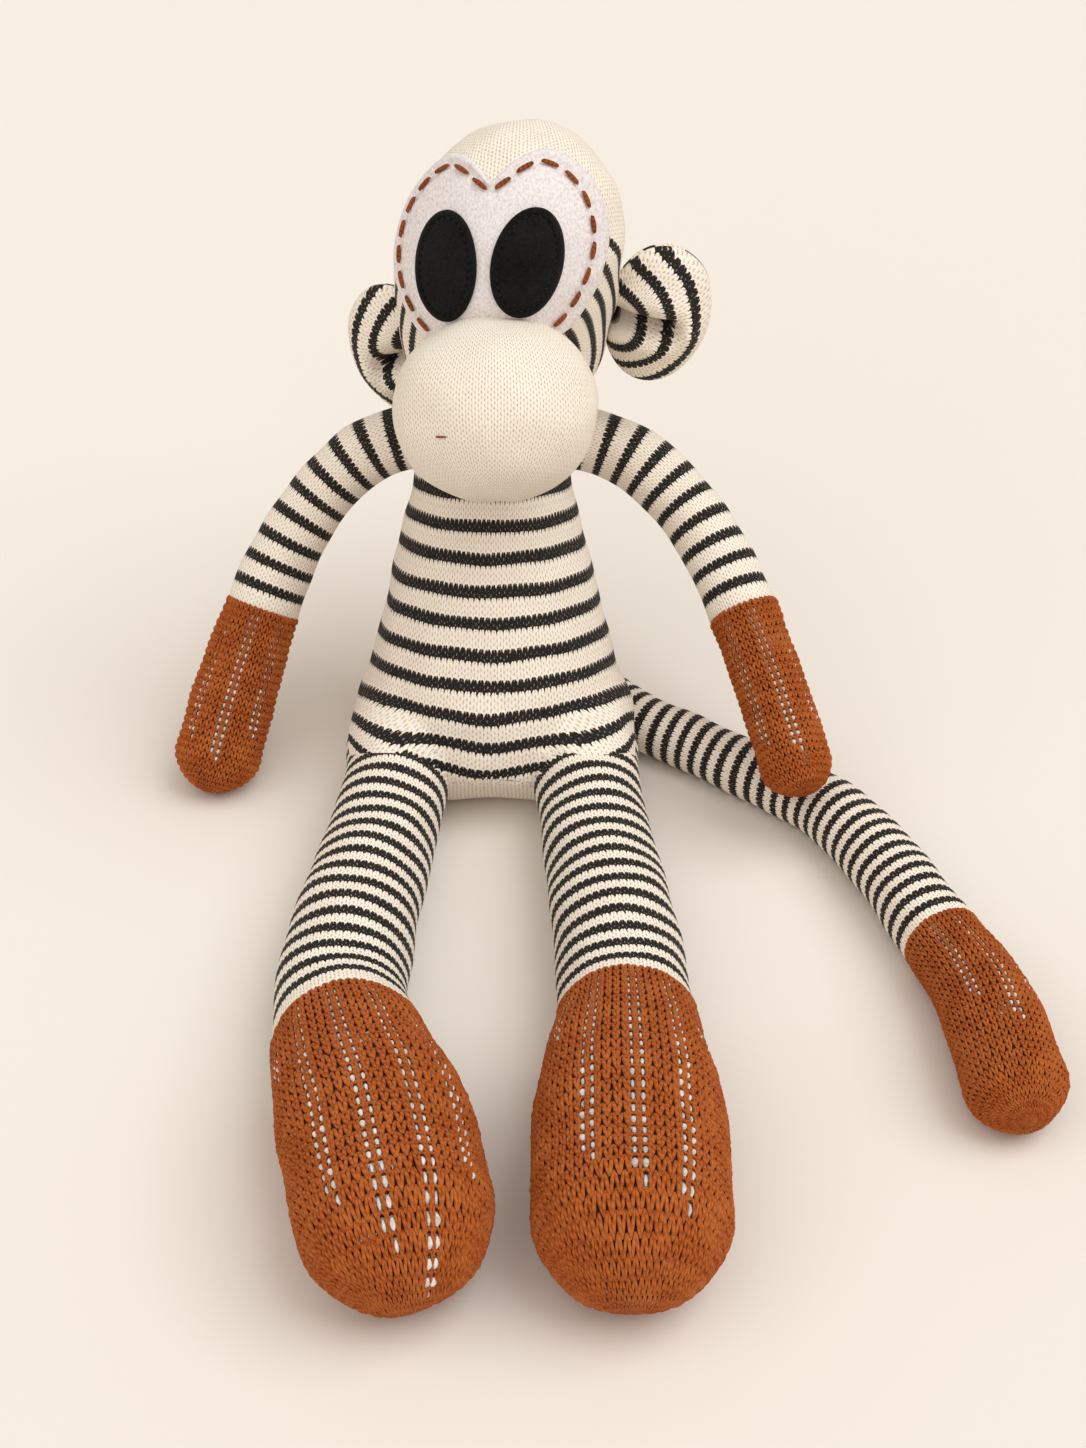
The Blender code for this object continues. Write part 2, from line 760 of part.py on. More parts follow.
def ear_root(side):
    """The ear's frame on the head's surface: X outwards and swept back, Z up the surface."""
    sign, back, height = SIDES[side], EAR_SET_BACKS[side], -EAR_DROPS[side]
    half_width, half_depth = head_radii(height, 0)
    across = sign * half_width * math.sqrt(1 - (back / half_depth) ** 2)
    root = Vector((head_middle(height) + across, back, height))
    reach = EAR_HEIGHT / 4
    below, above = (
        sign * head_middle(level) + head_radii(level, 0)[0]
        for level in (height - reach, height + reach)
    )
    slope = (above - below) / (2 * reach)
    outward = Vector((across / half_width, back / half_depth, -slope)).normalized()
    up = (Vector((0, 0, 1)) - outward * outward.z).normalized()
    frame = Matrix((outward, up.cross(outward), up)).transposed().to_4x4()
    sweep = Matrix.Rotation(sign * EAR_SWEEPS[side], 4, "Z")
    return HEAD_MATRIX @ Matrix.Translation(root) @ frame @ sweep


EAR_ROOTS = {side: ear_root(side) for side in SIDES}


def patch_outline(inset=0):
    """The heart's outline, from the notch down the left lobe and back up the right one."""
    half = [
        (across * PATCH_HALF_WIDTH, up * PATCH_RISE) for across, up in PATCH_HALF_OUTLINE_SHARES
    ]
    whole = half + [(-x, z) for x, z in reversed(half[1:-1])]
    outline = [(x + PATCH_LEAN_SHARE * head_middle(z), z) for x, z in whole]
    moved = []
    for index, (x, z) in enumerate(outline):
        before = outline[index - 1]
        after = outline[(index + 1) % len(outline)]
        along = Vector((after[0] - before[0], after[1] - before[1])).normalized()
        moved.append((x + inset * along.y, z - inset * along.x))
    return moved


def on_face(x, z, height):
    """The point over (x, z) of the face's plane, at a height above the head's surface."""
    start, ray = FACE_TILT @ Vector((x, 0, z)), FACE_TILT @ Vector((0, -1, 0))
    near, far = 0, HEAD_DEPTH
    for _ in range(HALVINGS):
        middle = (near + far) / 2
        place = start + ray * middle
        half_width, half_depth = head_radii(place.z, height)
        across = (place.x - head_middle(place.z)) / half_width
        if across**2 + (place.y / half_depth) ** 2 < 1:
            near = middle
        else:
            far = middle
    return HEAD_MATRIX @ (start + ray * near)


def bead(name, ends, normal, width, material):
    """A short stitch between two points, lying flat on a surface."""
    start, end = ends
    along = (end - start).normalized()
    across = normal.cross(along).normalized()
    frame = Matrix((along, across, along.cross(across))).transposed().to_4x4()
    middle = Matrix.Translation((start + end) / 2)
    return ellipsoid(
        name,
        ((end - start).length, width, STITCH_THICKNESS),
        middle @ frame,
        STITCH_SEGMENTS,
        STITCH_RINGS,
        material,
    )


def build_mouth_stitch():
    radii = [side / 2 + SEAM_GAP + STITCH_THICKNESS / 2 for side in MUZZLE_SIZE]
    ends = []
    for part in (-0.5, 0.5):
        x = MOUTH_STITCH_ACROSS + part * MOUTH_STITCH_LENGTH
        z = MOUTH_STITCH_RISE
        y = -radii[1] * math.sqrt(1 - (x / radii[0]) ** 2 - (z / radii[2]) ** 2)
        ends.append(MUZZLE_MATRIX @ Vector((x, y, z)))
    normal = ((ends[0] + ends[1]) / 2 - MUZZLE_MATRIX.translation).normalized()
    bead("mouth_stitch", ends, normal, MOUTH_STITCH_WIDTH, "rust_thread")


def build_stitches():
    """Stitches at even steps along the patch's edge, on each side of the notch."""
    half = len(PATCH_HALF_OUTLINE_SHARES)
    outline = patch_outline(STITCH_INSET)
    number = 0
    for edge_points in ([outline[0], *outline[: half - 2 : -1]], outline[:half]):
        edge = [Vector((x, 0, z)) for x, z in edge_points]
        run = Limb(edge, ((0, 0), (1, 0)))
        first, last = (share * run.length for share in STITCH_RUN_SHARES)
        for step in range(STITCHES_PER_SIDE):
            middle = first + (last - first) * step / (STITCHES_PER_SIDE - 1)
            flat = [run.place(middle + part * STITCH_LENGTH) for part in (-0.5, 0.5)]
            height = PATCH_TOP + SEAM_GAP + STITCH_THICKNESS / 2
            ends = [on_face(end.x, end.z, height) for end in flat]
            inner = on_face(flat[0].x * (1 - STITCH_LENGTH / PATCH_RISE), flat[0].z, height)
            normal = (ends[1] - ends[0]).cross(inner - ends[0]).normalized()
            number += 1
            bead(f"face_stitch_{number:02d}", ends, normal, STITCH_WIDTH, "rust_thread")


def build_eye(side):
    sign = SIDES[side]
    tilt = Matrix.Rotation(EYE_TILTS[side], 2)
    outline = []
    for step in range(EYE_SIDES):
        turn = -2 * math.pi * step / EYE_SIDES
        point = tilt @ Vector((EYE_WIDTH / 2 * math.cos(turn), EYE_HEIGHT / 2 * math.sin(turn)))
        outline.append((point.x + sign * EYE_SPACING / 2 + EYE_SHIFT, point.y + EYE_RISE))
    face = HEAD_MATRIX @ FACE_TILT
    shape = extrusion(f"eye_{side}_outline", outline, face, -HEAD_HEIGHT, 0)
    bed = head_form(f"eye_{side}_bed", PATCH_TOP + SEAM_GAP)
    eye = head_form(f"eye_{side}", PATCH_TOP + SEAM_GAP + FELT_THICKNESS, "black_felt")
    boolean(eye, [shape], "INTERSECT")
    boolean(eye, [bed])


def build_head():
    seam_normal = HEAD_MATRIX.to_3x3() @ Vector(
        (0, -math.cos(CHEEK_SEAM_PITCH), -math.sin(CHEEK_SEAM_PITCH))
    )
    seam = HEAD_MATRIX.translation + seam_normal * CHEEK_SEAM_OFFSET
    half_gap = seam_normal * SEAM_GAP / 2
    in_front = half_space("before_cheek_seam", seam - half_gap, seam_normal)
    behind = half_space("behind_cheek_seam", seam + half_gap, -seam_normal)
    openings = [ball_clearance("head_neck_ball", NECK_CENTRE, NECK_RADIUS + SEAM_GAP)]
    for side in SIDES:
        for label, fold in (("rest", 0), ("front", -EAR_FOLD), ("back", EAR_FOLD)):
            name = f"ear_{side}_socket_{label}"
            openings.append(ear_form(side, name, SEAM_GAP, EAR_SEGMENTS, EAR_RINGS, fold=fold))

    void = head_form("head_void", -KNIT_WALL, sides=HEAD_CORE_SIDES)
    boolean(head_form("head_cheeks", 0, "striped_knit"), [void, behind, *openings])
    boolean(head_form("head_crown", 0, "cream_knit"), [void, in_front, *openings])
    core_inset = -KNIT_WALL - SEAM_GAP
    boolean(head_form("head_stuffing", core_inset, "stuffing", HEAD_CORE_SIDES), openings)

    inner, core = grown(MUZZLE_SIZE, -KNIT_WALL), grown(MUZZLE_SIZE, -KNIT_WALL - SEAM_GAP)
    void = ellipsoid("muzzle_void", inner, MUZZLE_MATRIX, CORE_SEGMENTS, CORE_RINGS)
    head_clearance = head_form("muzzle_bed", SEAM_GAP)
    boolean(muzzle_form("muzzle", 0, "cream_knit"), [void, head_clearance])
    stuffing = ellipsoid(
        "muzzle_stuffing", core, MUZZLE_MATRIX, CORE_SEGMENTS, CORE_RINGS, "stuffing"
    )
    boolean(stuffing, [head_clearance])

    face = HEAD_MATRIX @ FACE_TILT
    heart = extrusion("patch_outline", patch_outline(), face, -HEAD_HEIGHT, 0)
    patch = head_form("face_patch", PATCH_TOP, "white_felt")
    boolean(patch, [heart], "INTERSECT")
    boolean(patch, [head_form("patch_bed", SEAM_GAP), muzzle_form("muzzle_clearance", SEAM_GAP)])
    build_stitches()
    build_mouth_stitch()
    for side in SIDES:
        build_eye(side)


def ear_form(side, name, offset, segments, rings, material=None, fold=0):
    size = grown((EAR_REACH, EAR_THICKNESS, EAR_HEIGHT), offset)
    folded = EAR_ROOTS[side] @ Matrix.Rotation(fold, 4, "Z")
    return ellipsoid(
        name, size, folded @ Matrix.Translation((EAR_OFFSET, 0, 0)), segments, rings, material
    )


def ear_crease(side, name, offset):
    """The hollow in the ear's front, which is on the other side of the left ear's frame."""
    size = grown((EAR_CREASE_LENGTH, EAR_CREASE_DEPTH, EAR_CREASE_HEIGHT), offset)
    front = -SIDES[side] * EAR_THICKNESS / 2
    place = EAR_ROOTS[side] @ Matrix.Translation((EAR_CREASE_OFFSET, front, 0))
    return ellipsoid(name, size, place, CREASE_SEGMENTS, CREASE_RINGS)


def build_ears():
    """Each ear is stuffed through a small mouth at its root, inside the head's socket."""
    for side, root in EAR_ROOTS.items():
        crease = ear_crease(side, f"ear_{side}_crease", 0)
        void = ear_form(side, f"ear_{side}_void", -KNIT_WALL, EAR_CORE_SEGMENTS, EAR_CORE_RINGS)
        boolean(void, [ear_crease(side, f"ear_{side}_lining", KNIT_WALL)])
        inward = -root.to_3x3().col[0]
        mouth = rod_clearance(
            f"ear_{side}_mouth", root.translation, inward, EAR_REACH, EAR_MOUTH_RADIUS
        )
        ear = ear_form(side, f"ear_{side}", 0, EAR_SEGMENTS, EAR_RINGS, "striped_knit")
        boolean(ear, [void, mouth, crease])
        core = (-KNIT_WALL - SEAM_GAP, EAR_CORE_SEGMENTS, EAR_CORE_RINGS, "stuffing")
        stuffing = ear_form(side, f"ear_{side}_stuffing", *core)
        boolean(stuffing, [ear_crease(side, f"ear_{side}_core_crease", KNIT_WALL + SEAM_GAP)])


ellipsoid(
    "neck",
    (2 * NECK_RADIUS, 2 * NECK_RADIUS, 2 * NECK_RADIUS),
    Matrix.Translation(NECK_CENTRE),
    NECK_SEGMENTS,
    NECK_RINGS,
    "cream_knit",
)
build_torso()
build_head()
build_ears()
for side in SIDES:
    leg_names = (f"leg_{side}", f"foot_{side}", f"leg_{side}_stuffing")
    build_limb(LEGS[side], leg_names, LEG_CUFF_SHARES[side], LEG_RINGS, LEG_STEPS, [GROUND])
    arm_names = (f"arm_{side}", f"hand_{side}", f"arm_{side}_stuffing")
    build_limb(ARMS[side], arm_names, WRIST_SHARE, ARM_RINGS, ARM_STEPS, [GROUND])
tail_beds = []
for label, offset in (
    ("bed", SEAM_GAP),
    ("lining", SEAM_GAP + KNIT_WALL),
    ("core_bed", 2 * SEAM_GAP + KNIT_WALL),
):
    bed = loft(f"tail_{label}", torso_rings(-offset))
    root_radius = TAIL_RADIUS + SEAM_GAP - offset
    boolean(bed, [ball_clearance(f"tail_{label}_ball", TAIL_ROOT, root_radius)])
    tail_beds.append(bed)
build_limb(
    TAIL,
    ("tail", "tail_tip", "tail_stuffing"),
    TAIL_CUFF_SHARE,
    TAIL_RINGS,
    TAIL_STEPS,
    [GROUND, tail_beds[0]],
    [tail_beds[1]],
    [tail_beds[2]],
)


def hang(name, place, hung):
    """Parent the objects with these names to an empty on their joint's axis."""
    joint = bpy.data.objects.new(name, None)
    MONKEY.objects.link(joint)
    joint.location = place
    for hung_name in hung:
        piece = bpy.data.objects[hung_name]
        piece.parent = joint
        piece.matrix_parent_inverse = Matrix.Translation(-place)


on_head = [f"face_stitch_{number:02d}" for number in range(1, 2 * STITCHES_PER_SIDE + 1)]
for side, root in EAR_ROOTS.items():
    hang(f"ear_{side}_joint", root.translation, (f"ear_{side}", f"ear_{side}_stuffing"))
    hang(f"hip_{side}_joint", HIPS[side], (f"leg_{side}", f"foot_{side}", f"leg_{side}_stuffing"))
    arm_names = (f"arm_{side}", f"hand_{side}", f"arm_{side}_stuffing")
    hang(f"shoulder_{side}_joint", SHOULDERS[side], arm_names)
    on_head.extend((f"ear_{side}_joint", f"eye_{side}"))
hang("tail_joint", TAIL_ROOT, ("tail", "tail_tip", "tail_stuffing"))
on_head.extend(("head_cheeks", "head_crown", "head_stuffing", "muzzle", "muzzle_stuffing"))
on_head.extend(("face_patch", "mouth_stitch"))
hang("nod_joint", NECK_CENTRE, on_head)
hang("neck_joint", NECK_CENTRE, ("neck", "nod_joint"))
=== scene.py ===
# %% [markdown]
# A sock monkey is sewn from striped socks with rust toes, stuffed with polyester fibre. The frame
# is the toy's CAD model, with its joints. Each piece of cloth here lies where its CAD piece lies,
# and all but the arms' striped sleeves ride on the same body, so that legs, head, ears, tail,
# hands and the arms' filling still turn.

import json
import math

import bmesh
import bpy
import numpy as np
from mathutils import Matrix, Vector


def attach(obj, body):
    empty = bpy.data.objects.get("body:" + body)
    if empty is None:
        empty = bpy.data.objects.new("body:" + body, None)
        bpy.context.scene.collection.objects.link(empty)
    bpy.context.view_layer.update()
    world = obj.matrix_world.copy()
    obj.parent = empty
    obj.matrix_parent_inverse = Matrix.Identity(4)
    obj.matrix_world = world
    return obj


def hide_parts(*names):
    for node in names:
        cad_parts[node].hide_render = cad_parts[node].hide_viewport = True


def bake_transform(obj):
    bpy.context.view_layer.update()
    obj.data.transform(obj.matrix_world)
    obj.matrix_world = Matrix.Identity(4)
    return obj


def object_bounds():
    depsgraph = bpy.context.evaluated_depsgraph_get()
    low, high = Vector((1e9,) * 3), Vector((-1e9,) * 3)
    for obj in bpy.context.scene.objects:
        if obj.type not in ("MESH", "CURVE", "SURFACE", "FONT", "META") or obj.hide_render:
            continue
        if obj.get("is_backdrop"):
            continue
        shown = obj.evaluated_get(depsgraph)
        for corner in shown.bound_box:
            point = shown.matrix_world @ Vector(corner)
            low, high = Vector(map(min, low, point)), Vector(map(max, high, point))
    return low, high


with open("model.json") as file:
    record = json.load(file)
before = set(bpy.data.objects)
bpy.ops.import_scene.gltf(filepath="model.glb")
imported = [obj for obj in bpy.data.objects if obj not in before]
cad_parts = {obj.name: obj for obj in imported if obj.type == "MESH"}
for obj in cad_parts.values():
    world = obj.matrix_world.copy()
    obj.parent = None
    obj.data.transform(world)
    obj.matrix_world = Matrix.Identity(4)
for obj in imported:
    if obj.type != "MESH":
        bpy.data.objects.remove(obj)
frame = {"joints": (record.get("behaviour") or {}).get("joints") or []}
cad_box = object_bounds()

# %% [markdown]
# Colours are read off as sRGB hex, the way a screen or a paint chart gives them. Blender's shaders
# add and mix light, so they need linear numbers, and one function turns the one into the other.


# %% Colours
def linear(hex_colour):
    """The linear red, green and blue of an sRGB hex colour, with full alpha."""
    channels = [int(hex_colour[at : at + 2], 16) / 255 for at in (1, 3, 5)]
    return (*(c / 12.92 if c <= 0.04045 else ((c + 0.055) / 1.055) ** 2.4 for c in channels), 1)


CREAM_YARN, CREAM_SHADE = "#FEF7EA", "#C99B68"
BLACK_YARN, BLACK_SHADE = "#252423", "#0A0A0A"
RUST_YARN, RUST_SHADE, RUST_FLUFF_HIGHLIGHT = "#BD6229", "#863E17", "#CC773A"
PATCH_FIBRE, PATCH_SHADE = "#F7F0EF", "#DDD3D2"
FELT_FIBRE, FELT_SHADE = "#1B1B1A", "#030303"
THREAD, THREAD_SHADE = "#98502A", "#5F2A12"
FILLING, FILLING_SHADE = "#EFEDEB", "#BDB6AF"
FLOOR = "#F1EAE1"
print("cream yarn in linear light:", [round(c, 3) for c in linear(CREAM_YARN)])


# %% [markdown]
# Every material is a small network of nodes. One function adds a node, sets it up and links it,
# so that each line of a material reads as one step.


# %% Add a node
def add_node(tree, kind, inputs=None, **settings):
    """A node with these settings, and with a link or a value for each of its inputs."""
    node = tree.nodes.new(kind)
    for setting, value in settings.items():
        setattr(node, setting, value)
    for place, value in (inputs or {}).items():
        if isinstance(value, bpy.types.NodeSocket):
            tree.links.new(value, node.inputs[place])
        else:
            node.inputs[place].default_value = value
    return node


def new_material(name):
    """An empty material, its node tree and its output."""
    material = bpy.data.materials.new(name)
    material.use_nodes = True
    material.node_tree.nodes.clear()
    output = add_node(material.node_tree, "ShaderNodeOutputMaterial")
    return material, material.node_tree, output


# %% [markdown]
# The striped sock is stocking stitch in cotton. Each stitch is a V of two plump legs, and the Vs
# stack in columns, which knitters call wales. Modelling so many small stitches would be slow, so
# this cloth is drawn by its material: a UV map counts wales across and rows along, and the shader
# works out where each point is in its stitch. Between the legs are small warm dots of painted
# shade, half a row apart from one column to the next. A stripe changes colour by whole rows, and
# because a row ends in the tips of its legs, the edge of each stripe comes out as the fine saw that
# the real one has. A wale is about 2.3 mm and a row 1.9 mm, as measured on the muzzle in the photo.


# %% Fine knit of the striped sock
def knit_material(name, rows_per_stripe=0, black_rows=0, first_row=0.0, depth=0.0004):
    """Stocking stitch in cream cotton, with a black stripe of so many rows in each repeat."""
    material, tree, output = new_material(name)
    stitches = add_node(tree, "ShaderNodeUVMap", uv_map="stitches").outputs["UV"]
    across = add_node(tree, "ShaderNodeSeparateXYZ", {0: stitches})
    wale, row = across.outputs["X"], across.outputs["Y"]
    # A little wander, because no two stitches are pulled quite alike
    place = add_node(tree, "ShaderNodeTexCoord").outputs["Object"]
    wander = add_node(tree, "ShaderNodeTexNoise", {"Vector": place, "Scale": 900.0, "Detail": 1.0})
    sway = add_node(
        tree, "ShaderNodeMath", {0: wander.outputs[0], 1: 0.36, 2: -0.18}, operation="MULTIPLY_ADD"
    ).outputs[0]
    wale = add_node(tree, "ShaderNodeMath", {0: wale, 1: sway}, operation="ADD").outputs[0]
    row = add_node(tree, "ShaderNodeMath", {0: row, 1: sway}, operation="ADD").outputs[0]
    # From 0 between two wales to 1 down the middle of each
    doubled = add_node(tree, "ShaderNodeMath", {0: wale, 1: 2.0}, operation="MULTIPLY").outputs[0]
    bow = add_node(tree, "ShaderNodeMath", {0: doubled, 1: 1.0}, operation="PINGPONG").outputs[0]
    slant = add_node(
        tree, "ShaderNodeMath", {0: bow, 1: 0.5, 2: row}, operation="MULTIPLY_ADD"
    ).outputs[0]
    # The two legs of a stitch, and the dots between them
    turn = add_node(tree, "ShaderNodeMath", {0: slant, 1: math.tau}, operation="MULTIPLY")
    swing = add_node(tree, "ShaderNodeMath", {0: turn.outputs[0]}, operation="COSINE").outputs[0]
    yarn = add_node(
        tree, "ShaderNodeMath", {0: swing, 1: -0.5, 2: 0.5}, operation="MULTIPLY_ADD"
    ).outputs[0]
    arch = add_node(tree, "ShaderNodeMath", {0: bow, 1: math.pi}, operation="MULTIPLY").outputs[0]
    arch = add_node(tree, "ShaderNodeMath", {0: arch}, operation="SINE").outputs[0]
    arch = add_node(tree, "ShaderNodeMath", {0: arch, 1: 0.0}, operation="MAXIMUM").outputs[0]
    leg = add_node(tree, "ShaderNodeMath", {0: arch, 1: 0.8}, operation="POWER").outputs[0]
    hollow = add_node(
        tree, "ShaderNodeMath", {0: yarn, 1: -0.60, 2: 1.0}, operation="MULTIPLY_ADD"
    ).outputs[0]
    between = add_node(tree, "ShaderNodeMath", {0: 1.0, 1: leg}, operation="SUBTRACT").outputs[0]
    hollow = add_node(
        tree, "ShaderNodeMath", {0: between, 1: hollow}, operation="MULTIPLY"
    ).outputs[0]
    ripple = add_node(
        tree, "ShaderNodeMath", {0: yarn, 1: 0.16, 2: 0.84}, operation="MULTIPLY_ADD"
    ).outputs[0]
    height = add_node(
        tree, "ShaderNodeMath", {0: ripple, 1: hollow}, operation="SUBTRACT"
    ).outputs[0]
    # Colour: yarn over a warmer painted shade in the gaps between the legs, darkest where the gap is
    # deepest
    cloudy = add_node(tree, "ShaderNodeTexNoise", {"Vector": place, "Scale": 70.0, "Detail": 3.0})
    lit = add_node(
        tree,
        "ShaderNodeMapRange",
        {"Value": height, "From Min": -0.18, "From Max": 0.75},
    ).outputs[0]
    uneven = add_node(
        tree,
        "ShaderNodeMapRange",
        {"Value": cloudy.outputs[0], "From Min": 0.3, "From Max": 0.7, "To Min": 0.93},
    ).outputs[0]
    lit = add_node(tree, "ShaderNodeMath", {0: lit, 1: uneven}, operation="MULTIPLY").outputs[0]
    colour = add_node(
        tree,
        "ShaderNodeMix",
        {0: lit, 6: linear(CREAM_SHADE), 7: linear(CREAM_YARN)},
        data_type="RGBA",
    ).outputs[2]
    if rows_per_stripe:
        # The black yarn gets the same painted shade in its gaps
        black = add_node(
            tree,
            "ShaderNodeMix",
            {0: lit, 6: linear(BLACK_SHADE), 7: linear(BLACK_YARN)},
            data_type="RGBA",
        ).outputs[2]
        # The tips of the legs reach on into the next colour
        tipped = add_node(
            tree, "ShaderNodeMath", {0: arch, 1: -0.42, 2: slant}, operation="MULTIPLY_ADD"
        ).outputs[0]
        whole = add_node(tree, "ShaderNodeMath", {0: tipped}, operation="FLOOR").outputs[0]
        moved = add_node(
            tree, "ShaderNodeMath", {0: whole, 1: 0.5 - first_row}, operation="ADD"
        ).outputs[0]
        repeat = add_node(
            tree, "ShaderNodeMath", {0: moved, 1: rows_per_stripe}, operation="DIVIDE"
        ).outputs[0]
        repeat = add_node(tree, "ShaderNodeMath", {0: repeat}, operation="FRACT").outputs[0]
        striped = add_node(
            tree,
            "ShaderNodeMath",
            {0: repeat, 1: black_rows / rows_per_stripe},
            operation="LESS_THAN",
        ).outputs[0]
        # Rows below zero stay plain, next to the rust
        started = add_node(
            tree, "ShaderNodeMath", {0: whole, 1: -0.5}, operation="GREATER_THAN"
        ).outputs[0]
        striped = add_node(
            tree, "ShaderNodeMath", {0: striped, 1: started}, operation="MULTIPLY"
        ).outputs[0]
        # Where a black stitch is thin, a speck of the cream carried behind it shows
        thin = add_node(tree, "ShaderNodeTexNoise", {"Vector": place, "Scale": 1300.0})
        sparse = add_node(
            tree, "ShaderNodeMath", {0: thin.outputs[0], 1: 0.48}, operation="GREATER_THAN"
        ).outputs[0]
        speck = add_node(
            tree, "ShaderNodeMath", {0: height, 1: 0.30}, operation="LESS_THAN"
        ).outputs[0]
        speck = add_node(
            tree, "ShaderNodeMath", {0: speck, 1: sparse}, operation="MULTIPLY"
        ).outputs[0]
        share = add_node(
            tree, "ShaderNodeMath", {0: speck, 1: -0.5, 2: 1.0}, operation="MULTIPLY_ADD"
        ).outputs[0]
        share = add_node(
            tree, "ShaderNodeMath", {0: striped, 1: share}, operation="MULTIPLY"
        ).outputs[0]
        colour = add_node(
            tree, "ShaderNodeMix", {0: share, 6: colour, 7: black}, data_type="RGBA"
        ).outputs[2]
    fuzz = add_node(tree, "ShaderNodeTexNoise", {"Vector": place, "Scale": 4200.0, "Detail": 2.0})
    relief = add_node(
        tree, "ShaderNodeMath", {0: fuzz.outputs[0], 1: 0.25, 2: height}, operation="MULTIPLY_ADD"
    ).outputs[0]
    bump = add_node(
        tree, "ShaderNodeBump", {"Strength": 0.6, "Distance": depth, "Height": relief}
    ).outputs[0]
    rough = add_node(
        tree, "ShaderNodeMapRange", {"Value": fuzz.outputs[0], "To Min": 0.78, "To Max": 1.0}
    ).outputs[0]
    cloth = add_node(
        tree,
        "ShaderNodeBsdfPrincipled",
        {
            "Base Color": colour,
            "Roughness": rough,
            "IOR": 1.47,
            "Specular IOR Level": 0.25,
            "Sheen Weight": 0.03,
            "Sheen Roughness": 0.5,
            "Normal": bump,
        },
    )
    tree.links.new(cloth.outputs[0], output.inputs["Surface"])
    return material


# %% Fine knits in use
TORSO_REPEAT, TORSO_BLACK = 5, 2
LEG_REPEAT, LEG_BLACK = 4, 2
ARM_REPEAT, ARM_BLACK = 5, 2
TAIL_REPEAT, TAIL_BLACK = 4, 2
EAR_REPEAT, EAR_BLACK = 5, 2
CHEEK_REPEAT, CHEEK_BLACK = 5, 2
torso_knit = knit_material("striped knit, torso", TORSO_REPEAT, TORSO_BLACK, -TORSO_BLACK / 2)
leg_knit = knit_material("striped knit, leg", LEG_REPEAT, LEG_BLACK)
arm_knit = knit_material("striped knit, arm", ARM_REPEAT, ARM_BLACK)
tail_knit = knit_material("striped knit, tail", TAIL_REPEAT, TAIL_BLACK)
ear_knit = knit_material("striped knit, ear", EAR_REPEAT, EAR_BLACK)
cheek_knit = knit_material("striped knit, cheeks", CHEEK_REPEAT, CHEEK_BLACK, -CHEEK_BLACK / 2)
cream_knit = knit_material("cream knit")
print("fine knits:", len([m for m in bpy.data.materials if "knit" in m.name]))

# %% [markdown]
# The rust toes of the socks are a coarser, softer yarn, and close up each stitch is a separate
# plump loop with dark air between. That relief is too deep for a bump map, so it is modelled: every
# leg of every V is its own little spindle of yarn. The material then only adds what is finer than
# a spindle: the twist of the plies with painted shade in the grooves between them, a fluffy edge
# given as random patches of painted highlight, and a change of colour from stitch to stitch.


# %% Rust yarn, felt, thread and filling
def yarn_material(name, yarn, shade, fluff_highlight, twist=7.0, depth=0.00025):
    """Soft plied yarn. The UV map goes round the strand and then along it."""
    material, tree, output = new_material(name)
    strand = add_node(tree, "ShaderNodeUVMap", uv_map="stitches").outputs["UV"]
    parts = add_node(tree, "ShaderNodeSeparateXYZ", {0: strand})
    lay = add_node(
        tree,
        "ShaderNodeMath",
        {0: parts.outputs["Y"], 1: twist, 2: parts.outputs["X"]},
        operation="MULTIPLY_ADD",
    ).outputs[0]
    lay = add_node(tree, "ShaderNodeMath", {0: lay, 1: math.tau}, operation="MULTIPLY").outputs[0]
    plies = add_node(tree, "ShaderNodeMath", {0: lay}, operation="SINE").outputs[0]
    place = add_node(tree, "ShaderNodeTexCoord").outputs["Object"]
    cloudy = add_node(tree, "ShaderNodeTexNoise", {"Vector": place, "Scale": 120.0, "Detail": 4.0})
    fibres = add_node(
        tree, "ShaderNodeTexNoise", {"Vector": place, "Scale": 2600.0, "Detail": 3.0}
    )
    # Painted shade: the grooves between the plies and the darker fibres take the shade colour
    tone = add_node(
        tree,
        "ShaderNodeMath",
        {0: plies, 1: 0.16, 2: fibres.outputs[0]},
        operation="MULTIPLY_ADD",
    ).outputs[0]
    lit = add_node(
        tree, "ShaderNodeMapRange", {"Value": tone, "From Min": 0.22, "From Max": 0.66}
    ).outputs[0]
    deep = add_node(
        tree, "ShaderNodeMix", {0: lit, 6: linear(shade), 7: linear(yarn)}, data_type="RGBA"
    ).outputs[2]
    # Painted highlight: random cloudy patches lighten towards the fluff's highlight colour
    light = add_node(
        tree,
        "ShaderNodeMapRange",
        {"Value": cloudy.outputs[0], "From Min": 0.42, "From Max": 0.72, "To Max": 0.55},
    ).outputs[0]
    colour = add_node(
        tree, "ShaderNodeMix", {0: light, 6: deep, 7: linear(fluff_highlight)}, data_type="RGBA"
    ).outputs[2]
    relief = add_node(
        tree,
        "ShaderNodeMath",
        {0: plies, 1: 0.35, 2: fibres.outputs[0]},
        operation="MULTIPLY_ADD",
    ).outputs[0]
    bump = add_node(
        tree, "ShaderNodeBump", {"Strength": 0.8, "Distance": depth, "Height": relief}
    ).outputs[0]
    rough = add_node(
        tree, "ShaderNodeMapRange", {"Value": fibres.outputs[0], "To Min": 0.7, "To Max": 1.0}
    ).outputs[0]
    cloth = add_node(
        tree,
        "ShaderNodeBsdfPrincipled",
        {
            "Base Color": colour,
            "Roughness": rough,
            "IOR": 1.5,
            "Specular IOR Level": 0.12,
            "Sheen Weight": 0.04,
            "Sheen Roughness": 0.45,
            "Normal": bump,
        },
    )
    tree.links.new(cloth.outputs[0], output.inputs["Surface"])
    return material


